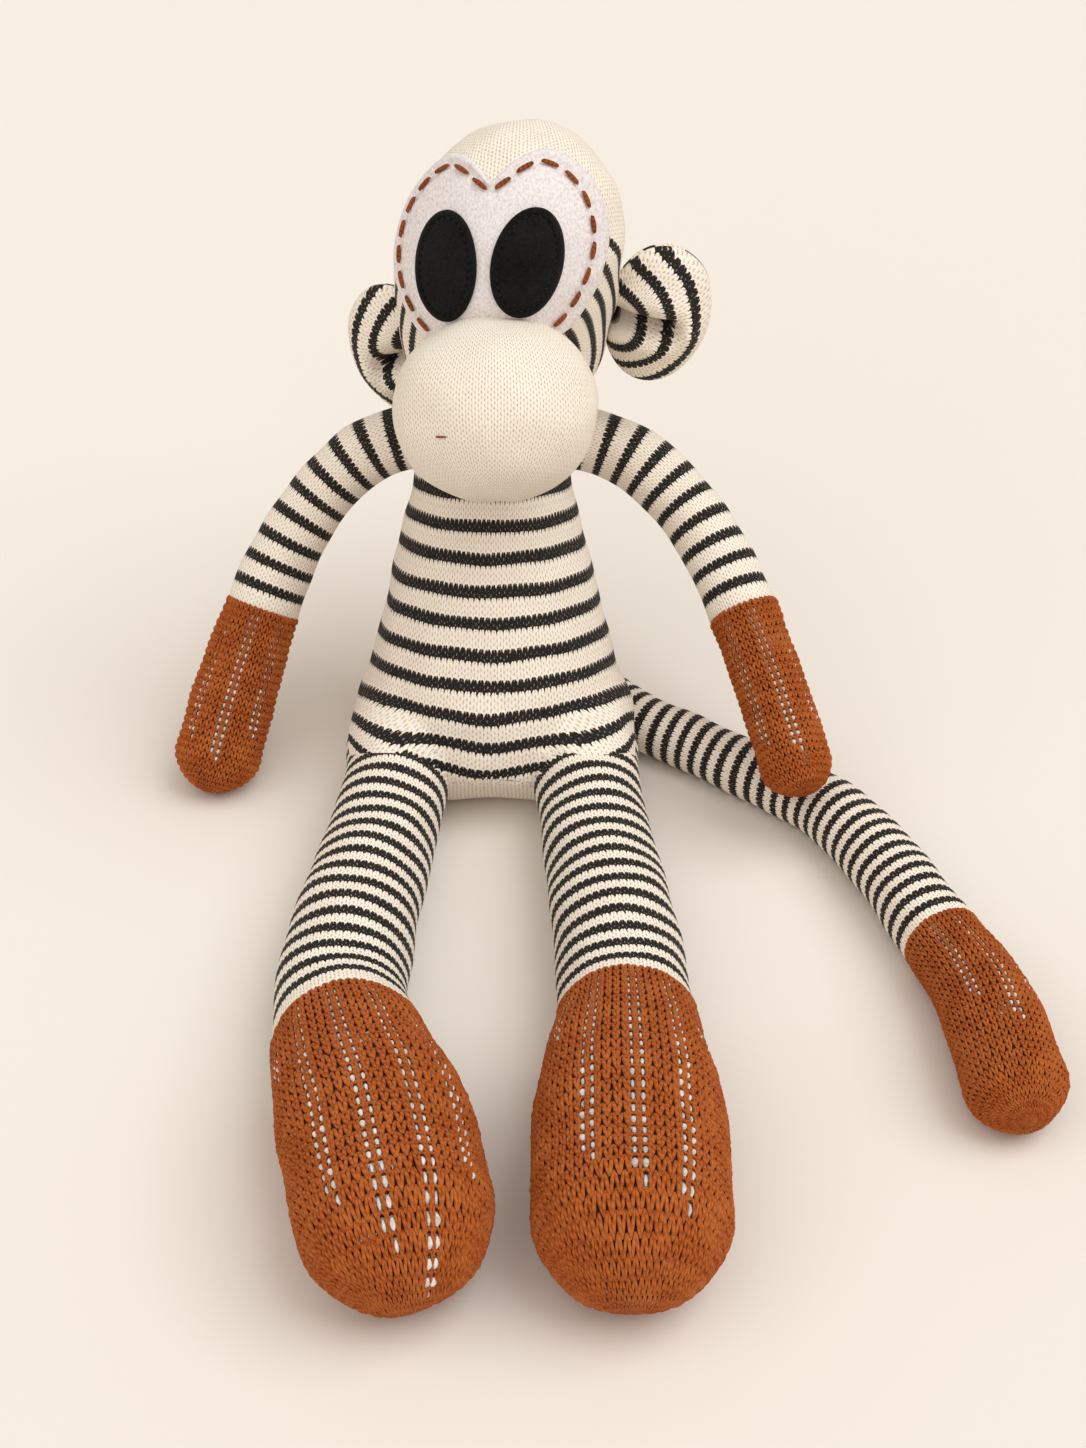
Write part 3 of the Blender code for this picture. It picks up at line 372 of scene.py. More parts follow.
def felted_material(name, fibre, shade, scale, depth, sheen=0.1):
    """Matted fibres with no weave: felt, brushed cloth or stuffing, by the scale of its matting."""
    material, tree, output = new_material(name)
    place = add_node(tree, "ShaderNodeTexCoord").outputs["Object"]
    matted = add_node(
        tree,
        "ShaderNodeTexNoise",
        {"Vector": place, "Scale": scale, "Detail": 5.0, "Roughness": 0.65, "Distortion": 1.2},
    )
    patchy = add_node(tree, "ShaderNodeTexNoise", {"Vector": place, "Scale": scale / 9})
    both = add_node(
        tree,
        "ShaderNodeMath",
        {0: patchy.outputs[0], 1: 0.5, 2: matted.outputs[0]},
        operation="MULTIPLY_ADD",
    ).outputs[0]
    lit = add_node(
        tree, "ShaderNodeMapRange", {"Value": both, "From Min": 0.55, "From Max": 0.9}
    ).outputs[0]
    colour = add_node(
        tree, "ShaderNodeMix", {0: lit, 6: linear(shade), 7: linear(fibre)}, data_type="RGBA"
    ).outputs[2]
    bump = add_node(
        tree, "ShaderNodeBump", {"Strength": 0.8, "Distance": depth, "Height": both}
    ).outputs[0]
    rough = add_node(
        tree, "ShaderNodeMapRange", {"Value": matted.outputs[0], "To Min": 0.82, "To Max": 1.0}
    ).outputs[0]
    cloth = add_node(
        tree,
        "ShaderNodeBsdfPrincipled",
        {
            "Base Color": colour,
            "Roughness": rough,
            "IOR": 1.47,
            "Specular IOR Level": 0.2,
            "Sheen Weight": sheen,
            "Sheen Roughness": 0.5,
            "Normal": bump,
        },
    )
    tree.links.new(cloth.outputs[0], output.inputs["Surface"])
    return material


# Each yarn and thread below has a shade colour painted between its plies and a lighter colour painted as
# highlight on its fluff
rust_yarn = yarn_material("rust wool yarn", RUST_YARN, RUST_SHADE, RUST_FLUFF_HIGHLIGHT, twist=3.0)
# The ground is the rust yarn painted dark brown: painted shade between the strands
rust_ground_painted_dark = felted_material("rust yarn behind the stitches, painted dark as shade", "#4E2410", "#26110A", 1500.0, 0.0004)
rust_thread = yarn_material("rust embroidery thread", THREAD, THREAD_SHADE, "#A65E36", twist=4.0)
black_thread = yarn_material("black sewing thread", "#2B2C2F", "#0B0B0D", "#3A3B3F", twist=5.0)
white_thread = yarn_material("white sewing thread", "#F4F0E8", "#C9BEAE", "#FFFCF6", twist=5.0)
black_felt = felted_material("black wool felt", FELT_FIBRE, FELT_SHADE, 620.0, 0.0009, 0.02)
filling_fibre = felted_material("polyester filling", FILLING, FILLING_SHADE, 380.0, 0.0008)
print("materials so far:", len(bpy.data.materials))

# %% [markdown]
# A skin of cloth is a grid of points: rows along the piece and columns round it. The UV map has
# one column more than the grid, so that the count of wales runs on to a whole number where the
# last column meets the first, and no seam shows in the knitting.


# %% Meshes from grids
def mesh_piece(name, vertices, quads, stitches, material):
    """A smooth shaded piece from arrays of points, of quads and of one UV for each corner."""
    mesh = bpy.data.meshes.new(name)
    mesh.vertices.add(len(vertices))
    mesh.vertices.foreach_set("co", np.asarray(vertices, np.float32).ravel())
    mesh.loops.add(quads.size)
    mesh.loops.foreach_set("vertex_index", np.asarray(quads, np.int32).ravel())
    mesh.polygons.add(len(quads))
    mesh.polygons.foreach_set("loop_start", np.arange(0, quads.size, 4, dtype=np.int32))
    mesh.uv_layers.new(name="stitches")
    mesh.uv_layers["stitches"].data.foreach_set("uv", np.asarray(stitches, np.float32).ravel())
    mesh.update(calc_edges=True)
    mesh.shade_smooth()
    mesh.materials.append(material)
    piece = bpy.data.objects.new(name, mesh)
    bpy.context.scene.collection.objects.link(piece)
    return piece


def grid_quads(rows, columns, wraps=True):
    """The corners of each quad of a grid, and the row and column of each corner."""
    last = columns if wraps else columns - 1
    row, column = np.meshgrid(np.arange(rows - 1), np.arange(last), indexing="ij")
    corner_rows = np.stack([row, row, row + 1, row + 1], -1).reshape(-1, 4)
    corner_columns = np.stack([column, column + 1, column + 1, column], -1).reshape(-1, 4)
    return corner_rows * columns + corner_columns % columns, corner_rows, corner_columns


def knit_skin(name, points, wales, rows, material, wraps=True, weld=True):
    """A skin from points[row][column], with the count of wales and rows at each of them."""
    high, wide = points.shape[:2]
    quads, corner_rows, corner_columns = grid_quads(high, wide, wraps)
    stitches = np.stack(
        [wales[corner_rows, corner_columns], rows[corner_rows, corner_columns]], -1
    )
    piece = mesh_piece(name, points.reshape(-1, 3), quads, stitches, material)
    if weld:
        shape = bmesh.new()
        shape.from_mesh(piece.data)
        bmesh.ops.remove_doubles(shape, verts=shape.verts, dist=2e-6)
        bmesh.ops.recalc_face_normals(shape, faces=shape.faces)
        shape.to_mesh(piece.data)
        shape.free()
    return piece


def around(columns):
    """The turn of each column of a skin, and of the one that closes it."""
    return np.linspace(0, math.tau, columns, endpoint=False), np.linspace(0, 1, columns + 1)


def unit(vectors):
    """The same directions, one long."""
    return vectors / np.maximum(np.linalg.norm(vectors, axis=-1, keepdims=True), 1e-12)


def smoothstep(value):
    """An eased step from 0 to 1."""
    held = np.clip(value, 0, 1)
    return held * held * (3 - 2 * held)


def lumps(points, size=0.0004):
    """How far the stuffing pushes the skin out: low, soft lumps 15 to 40 mm apart."""
    x, y, z = (points[..., axis] * 1000 for axis in range(3))
    wave = np.sin(x * 0.21 + 1.3 * np.sin(z * 0.11)) * np.sin(y * 0.17 + 0.7)
    wave = wave + 0.6 * np.sin(z * 0.29 + y * 0.13) * np.sin(x * 0.11 + 2.1)
    return size * wave


# %% [markdown]
# Arms, legs and tail are all tubes of sock, so they share one description: a smooth route down the
# middle, and a radius that eases from one place to the next. The numbers are the CAD model's own.
# Distances past the end go round a dome, so the same function also makes toes and finger tips.


# %% Limbs
class Limb:
    """A stuffed tube along a smooth route, thick by (share of length, radius) pairs."""

    def __init__(self, route, radii, facing, round_root=False):
        stops = [np.array(stop, float) for stop in route]
        ends = [2 * stops[0] - stops[1], *stops, 2 * stops[-1] - stops[-2]]
        fine = []
        for a, b, c, d in zip(ends, ends[1:], ends[2:], ends[3:]):
            for t in np.arange(24) / 24:
                bend = (2 * a - 5 * b + 4 * c - d) * t**2 + (3 * b - a - 3 * c + d) * t**3
                fine.append(b + ((c - a) * t + bend) / 2)
        self.points = np.array([*fine, stops[-1]])
        steps = np.linalg.norm(np.diff(self.points, axis=0), axis=1)
        self.reached = np.concatenate([[0], np.cumsum(steps)])
        self.length = self.reached[-1]
        self.tangents = unit(np.gradient(self.points, self.reached, axis=0))
        self.radii, self.facing, self.round_root = radii, np.array(facing), round_root
        self.tip = radii[-1][1]

    def radius(self, distance):
        share = np.asarray(distance) / self.length
        found = np.full(share.shape, float(self.radii[-1][1]))
        for (start, low), (end, high) in reversed(list(zip(self.radii, self.radii[1:]))):
            eased = low + (high - low) * smoothstep((share - start) / (end - start))
            found = np.where(share <= end, eased, found)
        return found

    def skin(self, along, turn, lift=0.0, tilt=0.0):
        """Points on the skin and the directions outwards. The top of the tube is at turn 0."""
        along, turn = np.broadcast_arrays(np.asarray(along, float), np.asarray(turn, float))
        inside = np.clip(along, 0, self.length)
        centre = np.stack([np.interp(inside, self.reached, self.points[:, k]) for k in range(3)], -1)
        ahead = np.stack(
            [np.interp(inside, self.reached, self.tangents[:, k]) for k in range(3)], -1
        )
        ahead = unit(ahead)
        up = unit(self.facing - ahead * (ahead @ self.facing)[..., None])
        side = np.cross(ahead, up)
        past = np.clip((along - self.length) / self.tip, 0, math.pi / 2)
        before = np.clip(-along / self.radii[0][1], 0, math.pi / 2) if self.round_root else 0
        angle = (past - before)[..., None]
        ring = np.cos(turn)[..., None] * up + np.sin(turn)[..., None] * side
        out = np.cos(angle) * ring + np.sin(angle) * ahead
        # The toe's closing point sits low on the front, so the dome's rows lean down towards it
        lean = (-tilt * smoothstep(past / (math.pi / 2)))[..., None]
        dot = np.sum(side * out, -1, keepdims=True)
        out = out * np.cos(lean) + np.cross(side, out) * np.sin(lean) + side * dot * (1 - np.cos(lean))
        reach = (self.radius(inside) + lift)[..., None]
        return centre + out * reach, out


GROUND_FLAT = 0.0005
SHOULDERS = {"left": (0.019, 0.042, 0.1145), "right": (-0.019, 0.042, 0.1145)}
HIPS = {"left": (0.036, -0.030, 0.0195), "right": (-0.036, -0.030, 0.0195)}
TAIL_ROOT = (0.036, 0.021, 0.0107)
SIGNS = {"left": 1, "right": -1}


def eased(pairs, share):
    """The value at this share, eased between (share, value) pairs."""
    for (start, low), (end, high) in zip(pairs, pairs[1:]):
        if share <= end:
            return low + (high - low) * float(smoothstep((share - start) / (end - start)))
    return pairs[-1][1]


# %% Routes of the limbs
TAIL_RADII = ((0, 0.0112), (0.20, 0.0112), (0.735, 0.0143), (0.93, 0.0172), (1, 0.0172))
LEG_RADII = ((0, 0.0200), (0.14, 0.0200), (0.56, 0.0228), (0.88, 0.0312), (1, 0.0312))
WRISTS, HANDS = {"left": 0.0129, "right": 0.0142}, {"left": 0.0132, "right": 0.0162}


def leg_limb(side):
    spread = {"left": 0.0115, "right": 0.0150}[side]
    toe_turn = {"left": 0.0005, "right": 0.0240}[side]
    route = []
    for forward, outward, toe_in in (
        (0.00, 0.00, 0.00),
        (0.09, 0.02, 0.00),
        (0.25, 0.35, 0.00),
        (0.45, 0.80, 0.00),
        (0.60, 1.00, 0.06),
        (0.75, 1.00, 0.38),
        (0.88, 1.00, 0.75),
        (1.00, 1.00, 1.00),
    ):
        across = outward * spread - toe_in * toe_turn
        x = HIPS[side][0] + SIGNS[side] * across
        route.append((x, HIPS[side][1] - forward * 0.2340, eased(LEG_RADII, forward) - GROUND_FLAT))
    return Limb(route, LEG_RADII, (0, 0, 1), round_root=True)


def arm_limb(side):
    sign, shoulder = SIGNS[side], np.array(SHOULDERS[side])
    radii = ((0, 0.0123), (0.35, 0.0123), (0.64, WRISTS[side]), (0.88, HANDS[side]), (1, HANDS[side]))
    # The left hand lies on the tail and the right one on the floor
    rests_on = {"left": 2 * eased(TAIL_RADII, 0.50) + 0.0003, "right": 0}[side]
    drop = shoulder[2] - (rests_on + HANDS[side] - GROUND_FLAT)
    spread = {"left": 0.1132, "right": 0.1066}[side] - 0.034
    reach = {"left": 0.1034, "right": 0.0696}[side]
    route = [shoulder + np.array((sign * 0.015 * share, 0, 0)) for share in (0, 0.5, 1)]
    for across, forward, down in (
        (0.15, 0.02, 0.035),
        (0.31, 0.07, 0.105),
        (0.455, 0.15, 0.205),
        (0.575, 0.25, 0.31),
        (0.68, 0.37, 0.435),
        (0.765, 0.50, 0.56),
        (0.85, 0.66, 0.71),
        (0.93, 0.83, 0.86),
        (1.00, 1.00, 1.000),
    ):
        x = sign * (0.034 + across * spread)
        route.append((x, shoulder[1] - forward * reach, shoulder[2] - down * drop))
    return Limb(route, radii, unit(np.array((0, -0.64, 0.77))))


def tail_limb():
    route = []
    for across, forward in (
        (0.000, 0.000),
        (0.085, 0.065),
        (0.170, 0.120),
        (0.305, 0.178),
        (0.411, 0.231),
        (0.505, 0.275),
        (0.595, 0.322),
        (0.685, 0.390),
        (0.785, 0.511),
        (0.890, 0.684),
        (0.943, 0.779),
        (0.977, 0.873),
        (1.000, 1.000),
    ):
        height = eased(TAIL_RADII, (across + forward) / 2) - GROUND_FLAT
        route.append((TAIL_ROOT[0] + across * 0.141, TAIL_ROOT[1] - forward * 0.2195, height))
    return Limb(route, TAIL_RADII, (0, 0, 1), round_root=True)


LEGS = {side: leg_limb(side) for side in SIGNS}
ARMS = {side: arm_limb(side) for side in SIGNS}
TAIL = tail_limb()
for label, limb in (("leg", LEGS["left"]), ("arm", ARMS["left"]), ("tail", TAIL)):
    print(f"{label}: {limb.length * 1000:.1f} mm along its middle")

# %% [markdown]
# A sleeve is the striped part of a limb. Its rows are counted up from the cuff, where the rust
# begins, because that is where the knitter changed yarn. The stuffing makes it a little lumpy, and
# the floor flattens it below.

# %% Sleeves and their filling
REST_HEIGHT = 0.0003


def on_floor(points, height=REST_HEIGHT):
    """The same points, none of them below this height."""
    points[..., 2] = np.maximum(points[..., 2], height)
    return points


def sleeve(name, limb, cuff, wales, row, plain, columns, material, tuck=0.003):
    """The striped skin from the root to just under the rust, with plain rows next to the rust."""
    root = -limb.radii[0][1] * math.pi / 2 if limb.round_root else 0.0
    along = np.arange(root, cuff + tuck, 0.0013)
    turns, share = around(columns)
    under = -0.0013 * smoothstep((along - cuff + 0.0004) / 0.0016)[:, None]
    points, out = limb.skin(along[:, None], turns[None, :], lift=under)
    points = points + out * lumps(points)[..., None]
    counted = np.broadcast_to((cuff - along)[:, None] / row - plain, (len(along), columns + 1))
    across = np.broadcast_to(share[None, :] * wales, counted.shape)
    return knit_skin(name, on_floor(points), across, counted, material)


def limb_filling(name, limb, inset):
    """The fibre inside, a little below the skin all the way round."""
    root = -limb.radii[0][1] * math.pi / 2 if limb.round_root else 0.002
    along = np.linspace(root, limb.length + limb.tip * math.pi / 2, 110)
    turns, share = around(48)
    points, _ = limb.skin(along[:, None], turns[None, :], lift=-inset)
    across = np.broadcast_to(share[None, :], (len(along), 49))
    return knit_skin(name, on_floor(points, 0.0016), across, across * 0, filling_fibre)


def finish_cloth(piece, body, slot, *nodes, fill=0.8):
    """Put a piece on its body, in place of its CAD nodes."""
    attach(piece, body)
    if nodes:
        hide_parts(*nodes)
    return piece


# %% [markdown]
# The rust toe is knitted stitch by stitch. Each V has two legs, and each leg is a spindle of yarn:
# a half tube, fat in the middle and tapered where it dives under the next row. Between some wales
# the knitter left a ladder of eyelets, two side by side with one wale between them, and the white
# filling shows through. So behind the spindles lies a thin ground of the same yarn, coloured a dark
# brown that paints the shade between the strands, with real holes at the eyelets, and behind that
# the filling.

# %% Rust knitting, stitch by stitch
GROUND_DEPTH, FILLING_DEPTH = 0.0009, 0.0014


def spindles(name, limb, tilt, paths, thick, lift, sides, material):
    """One half tube of yarn along each path of (along, turn) on a limb."""
    along, turn = paths
    count, stops = along.shape
    skin_end = limb.length + limb.tip * math.pi / 2
    middle, out = limb.skin(np.minimum(along, skin_end), turn, tilt=tilt)
    middle = middle + out * (lumps(middle) + lift)[..., None]
    ahead = unit(np.gradient(middle, axis=1))
    across = np.cross(ahead, out)
    arc = np.linspace(-0.60, 0.60, sides) * math.pi
    bulge = np.cos(arc)[None, None, :, None] * out[:, :, None, :]
    spread = np.sin(arc)[None, None, :, None] * across[:, :, None, :]
    points = middle[:, :, None, :] + (bulge + spread) * thick[..., None, None]
    points = on_floor(points.reshape(-1, 3))
    quad, quad_rows, quad_columns = grid_quads(stops, sides, wraps=False)
    quads = (quad[None] + (np.arange(count) * stops * sides)[:, None, None]).reshape(-1, 4)
    jitter = np.random.default_rng(count).random(count)[:, None, None]
    round_uv = np.broadcast_to(quad_columns[None] / (sides - 1) * 0.5, (count, *quad.shape))
    along_uv = np.broadcast_to(quad_rows[None] / (stops - 1), round_uv.shape)
    stitches = np.stack([round_uv + jitter, along_uv + 3 * jitter], -1).reshape(-1, 2)
    return mesh_piece(name, points, quads, stitches, material)


def rust_stitches(name, limb, cuff, wales, row, open_rows, tilt, stops=7, sides=6):
    """Spindles of yarn for every leg of every stitch, from the cuff round to the tip."""
    rows = int((limb.length + limb.tip * math.pi / 2 - cuff) / row)
    stitch_row, stitch_wale, leg_side = (
        grid.ravel()
        for grid in np.meshgrid(np.arange(rows + 1), np.arange(wales), (-1, 1), indexing="ij")
    )
    dice = np.random.default_rng(wales)
    count = len(stitch_row)
    # A leg beside an eyelet is pulled away from it, towards the middle of its wale
    beside = np.where(leg_side > 0, stitch_wale + 1, stitch_wale) % wales
    is_open = (stitch_row >= 1) & (stitch_row < open_rows[beside])
    # Eyelets stretch wider towards the toe
    wide_open = is_open * (0.40 + 0.60 * stitch_row / np.maximum(open_rows[beside], 1))
    shy = 1 - 0.72 * wide_open
    t = np.linspace(0, 1, stops)[None, :]
    du = (0.04 + 0.40 * t) * shy[:, None]
    u = stitch_wale[:, None] + 0.5 + leg_side[:, None] * du + dice.normal(0, 0.022, (count, 1))
    v = stitch_row[:, None] + 1.12 - 1.30 * t + dice.normal(0, 0.035, (count, 1))
    along = cuff + v * row
    wale = math.tau * limb.radius(np.clip(along, 0, limb.length)) / wales
    # Strands get thinner where the dome closes and the wales crowd together
    past = np.clip((along - limb.length) / limb.tip, 0, math.pi / 2)
    crowd = np.clip(np.cos(past), 0.12, 1) ** 0.8
    plump = 0.50 + 0.50 * np.sin(math.pi * np.clip(t, 0.02, 0.98)) ** 0.7
    thick = 0.225 * wale * crowd * plump * dice.normal(1, 0.07, (count, 1))
    thick = thick * (1 - 0.25 * wide_open[:, None])
    lift = -0.0010 + 0.00105 * np.sin(math.pi * np.clip(0.04 + t * 0.96, 0, 1)) ** 0.8
    lift = lift * (0.5 + 0.5 * crowd) - 0.3 * thick + dice.normal(0, 0.00008, (count, 1))
    # A rung of yarn between each eyelet and the next
    columns = np.nonzero(open_rows)[0]
    rung = [(r, c) for c in columns for r in range(1, int(open_rows[c]) + 1)]
    if rung:
        rung_row, rung_column = np.array(rung).T
        reach = np.linspace(-0.42, 0.42, stops)[None, :]
        rung_u = rung_column[:, None] + reach
        rung_v = rung_row[:, None] + 0.02 - 0.16 * (1 - (reach / 0.42) ** 2)
        rung_along = cuff + rung_v * row
        rung_wale = math.tau * limb.radius(np.clip(rung_along, 0, limb.length)) / wales
        along, u = np.concatenate([along, rung_along]), np.concatenate([u, rung_u])
        thick = np.concatenate([thick, 0.17 * rung_wale])
        lift = np.concatenate([lift, -0.0007 + 0 * rung_wale])
    paths = (along, u / wales * math.tau)
    print(f"{name}: {rows} rows of {wales} wales, {count} legs and {len(rung)} rungs")
    return spindles(name, limb, tilt, paths, thick, lift, sides, rust_yarn)


def rust_ground_skin(name, limb, cuff, wales, row, open_rows, tilt):
    """The ground behind the spindles, dark brown as painted shade, with a hole at each eyelet."""
    skin_end = limb.length + limb.tip * math.pi / 2
    rows = int((skin_end - cuff) / row)
    edges = np.concatenate([np.arange(rows) + 0.10, np.arange(rows) + 0.86])
    along = np.concatenate([[cuff - 0.10 * row, cuff], cuff + row * np.sort(edges), [skin_end]])
    u = np.sort(np.concatenate([np.arange(wales) - 0.30, np.arange(wales) + 0.30]))
    points, out = limb.skin(
        along[:, None], (u / wales * math.tau)[None, :], lift=-GROUND_DEPTH, tilt=tilt
    )
    points = on_floor(points + out * lumps(points)[..., None], 0.0009)
    quads, corner_rows, corner_columns = grid_quads(len(along), len(u))
    # Even columns are the gaps between wales, and after two extra rows every second one can open
    boundary = corner_columns[:, 0] // 2
    hole_row = (corner_rows[:, 0] - 2) // 2
    can_open = (corner_columns[:, 0] % 2 == 0) & (corner_rows[:, 0] >= 2)
    can_open &= (corner_rows[:, 0] % 2 == 0) & (hole_row >= 1)
    kept = ~(can_open & (hole_row < open_rows[boundary % wales]))
    stitches = np.stack([corner_columns[kept], corner_rows[kept]], -1).reshape(-1, 2)
    return mesh_piece(name, points.reshape(-1, 3), quads[kept], stitches, rust_ground_painted_dark)


def eyelet_tufts(name, limb, cuff, wales, row, open_rows, tilt):
    """White filling that swells up into each eyelet, more where the eyelet is wider."""
    places = [(r, c) for c in np.nonzero(open_rows)[0] for r in range(1, int(open_rows[c]))]
    tuft_row, column = np.array(places).T
    last = open_rows[column]
    t = np.linspace(0, 1, 5)[None, :]
    along = cuff + (tuft_row[:, None] + 0.20 + 0.58 * t) * row
    wale = math.tau * limb.radius(np.clip(along, 0, limb.length)) / wales
    swell = np.sin(math.pi * np.clip(t, 0.06, 0.94)) ** 0.6
    uneven = np.random.default_rng(wales + len(places)).normal(1, 0.22, (len(places), 1))
    opened = (0.45 + 0.55 * tuft_row / last)[:, None] * np.clip(uneven, 0.5, 1.5)
    thick = 0.28 * wale * swell * opened
    lift = -0.0009 + 0.0004 * swell * opened
    turn = np.broadcast_to(column[:, None], along.shape) / wales * math.tau
    return spindles(name, limb, tilt, (along, turn), thick, lift, 6, filling_fibre)


def rust_end(name, body, node, limb, cuff, wales, row, pairs, tilt=0.0, stops=7, sides=6):
    """Stitches and ground of one toe, with pairs of eyelet columns: (wale, last open row)."""
    open_rows = np.zeros(wales)
    for first, last in pairs:
        for step in (0, 1):
            open_rows[(first + step) % wales] = max(last - step, 0)
    stitches = rust_stitches(
        f"{name}_stitches", limb, cuff, wales, row, open_rows, tilt, stops, sides
    )
    ground = rust_ground_skin(f"{name}_ground", limb, cuff, wales, row, open_rows, tilt)
    tufts = eyelet_tufts(f"{name}_tufts", limb, cuff, wales, row, open_rows, tilt)
    finish_cloth(stitches, body, "rust_knit", node)
    finish_cloth(ground, body, "rust_knit")
    finish_cloth(tufts, body, "stuffing")


# %% Legs
LEG_CUFFS = {side: share * LEGS[side].length for side, share in (("left", 0.62), ("right", 0.66))}
FOOT_WALES, FOOT_ROW = 60, 0.0042
# Which wale each pair of eyelet columns starts at, counted from the top of the foot
FOOT_PAIRS = {
    "right": ((-9, 21), (-4, 28), (1, 25), (6, 22), (11, 7)),
    "left": ((-11, 8), (-6, 25), (-1, 24), (4, 22), (9, 8)),
}
LEG_PLAIN_ROWS = {"left": 2.0, "right": 3.0}
for side, limb in LEGS.items():
    body, cuff = f"leg_{side}_body", LEG_CUFFS[side]
    leg = sleeve(
        f"leg_{side}_sleeve", limb, cuff, 54, 0.00205, LEG_PLAIN_ROWS[side], 96, leg_knit
    )
    finish_cloth(leg, body, "striped_knit", f"leg_{side}")
    filling = limb_filling(f"leg_{side}_filling", limb, FILLING_DEPTH)
    finish_cloth(filling, body, "stuffing", f"leg_{side}_stuffing")
    rust_end(
        f"foot_{side}", body, f"foot_{side}", limb, cuff, FOOT_WALES, FOOT_ROW, FOOT_PAIRS[side],
        tilt=math.radians(42),
    )

# %% Arms
HAND_WALES = {"left": 34, "right": 40}
for side, limb in ARMS.items():
    body, cuff = f"arm_{side}_body", 0.64 * limb.length
    arm = sleeve(f"arm_{side}_sleeve", limb, cuff, 36, 0.00196, 3.0, 72, arm_knit)
    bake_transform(arm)
    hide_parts(f"arm_{side}")
    filling = limb_filling(f"arm_{side}_filling", limb, FILLING_DEPTH)
    finish_cloth(filling, body, "stuffing", f"arm_{side}_stuffing")
    rust_end(
        f"hand_{side}", body, f"hand_{side}", limb, cuff, HAND_WALES[side], 0.0030,
        ((-6, 17), (-1, 21), (4, 19)), stops=6, sides=5,
    )

# %% Tail
cuff = 0.735 * TAIL.length
tail = sleeve("tail_sleeve", TAIL, cuff, 34, 0.00164, 2.0, 64, tail_knit)
finish_cloth(tail, "tail_body", "striped_knit", "tail")
filling = limb_filling("tail_filling", TAIL, FILLING_DEPTH)
finish_cloth(filling, "tail_body", "stuffing", "tail_stuffing")
rust_end(
    "tail_tip", "tail_body", "tail_tip", TAIL, cuff, 44, 0.0033, ((-7, 14), (-2, 18), (3, 14)),
    stops=6, sides=5,
)

# %% [markdown]
# The torso is a pear of striped sock that leans back, with the cream heel of the sock for a seat.
# Its rings of stitches were knitted level, but stuffing and sewing tilted them, and the crotch
# pulls them down into a V. So the skin is a plain grid, and the count of rows in its UV map is
# worked out from those tilted rings: where a stripe crosses the front's middle, and how it leans.

# %% Torso and seat
TORSO_HEIGHT, TORSO_WIDTH, TORSO_DEPTH, TORSO_LEAN, SEAT_SET_BACK = 0.1335, 0.1095, 0.095, 0.052, 0.010
TORSO_LEVELS = np.array(
    (
        (0.000, 0.00, 0.60, 0.62),
        (0.020, 0.00, 0.80, 0.78),
        (0.080, 0.00, 0.97, 0.93),
        (0.200, 0.02, 0.94, 0.99),
        (0.330, 0.12, 0.855, 0.99),
        (0.450, 0.27, 0.775, 0.94),
        (0.600, 0.48, 0.680, 0.85),
        (0.750, 0.70, 0.565, 0.73),
        (0.860, 0.86, 0.52, 0.62),
        (0.900, 0.91, 0.50, 0.57),
        (0.920, 0.935, 0.44, 0.50),
        (0.935, 0.95, 0.33, 0.37),
    )
)


def smooth_through(places, values, wanted):
    """A smooth curve through the values that never swings past them (monotone cubic)."""
    step = np.diff(places)
    slope = np.diff(values) / step
    bend = np.zeros(len(places))
    inner = slope[:-1] * slope[1:] > 0
    weight_a, weight_b = 2 * step[1:] + step[:-1], step[1:] + 2 * step[:-1]
    safe = np.where(inner, slope[:-1], 1), np.where(inner, slope[1:], 1)
    mean = (weight_a + weight_b) / (weight_a / safe[0] + weight_b / safe[1])
    bend[1:-1] = np.where(inner, mean, 0)
    bend[0], bend[-1] = slope[0], slope[-1]
    at = np.clip(np.searchsorted(places, wanted) - 1, 0, len(step) - 1)
    t = np.clip((wanted - places[at]) / step[at], 0, 1)
    low, high = values[at], values[at + 1]
    a, b = bend[at] * step[at], bend[at + 1] * step[at]
    return (
        low * (2 * t**3 - 3 * t**2 + 1)
        + high * (3 * t**2 - 2 * t**3)
        + a * (t**3 - 2 * t**2 + t)
        + b * (t**3 - t**2)
    )


def torso_ring(level):
    """Middle, half width and half depth of the torso at a height."""
    share = (np.asarray(level) + GROUND_FLAT) / TORSO_HEIGHT
    lean, width, depth = (
        smooth_through(TORSO_LEVELS[:, 0], TORSO_LEVELS[:, k], share) for k in (1, 2, 3)
    )
    return lean * TORSO_LEAN - SEAT_SET_BACK, width * TORSO_WIDTH / 2, depth * TORSO_DEPTH / 2


# Half width, half length and half height of the cloth over the top of each leg
HIP_HALVES = (0.0204, 0.0500, 0.0240)


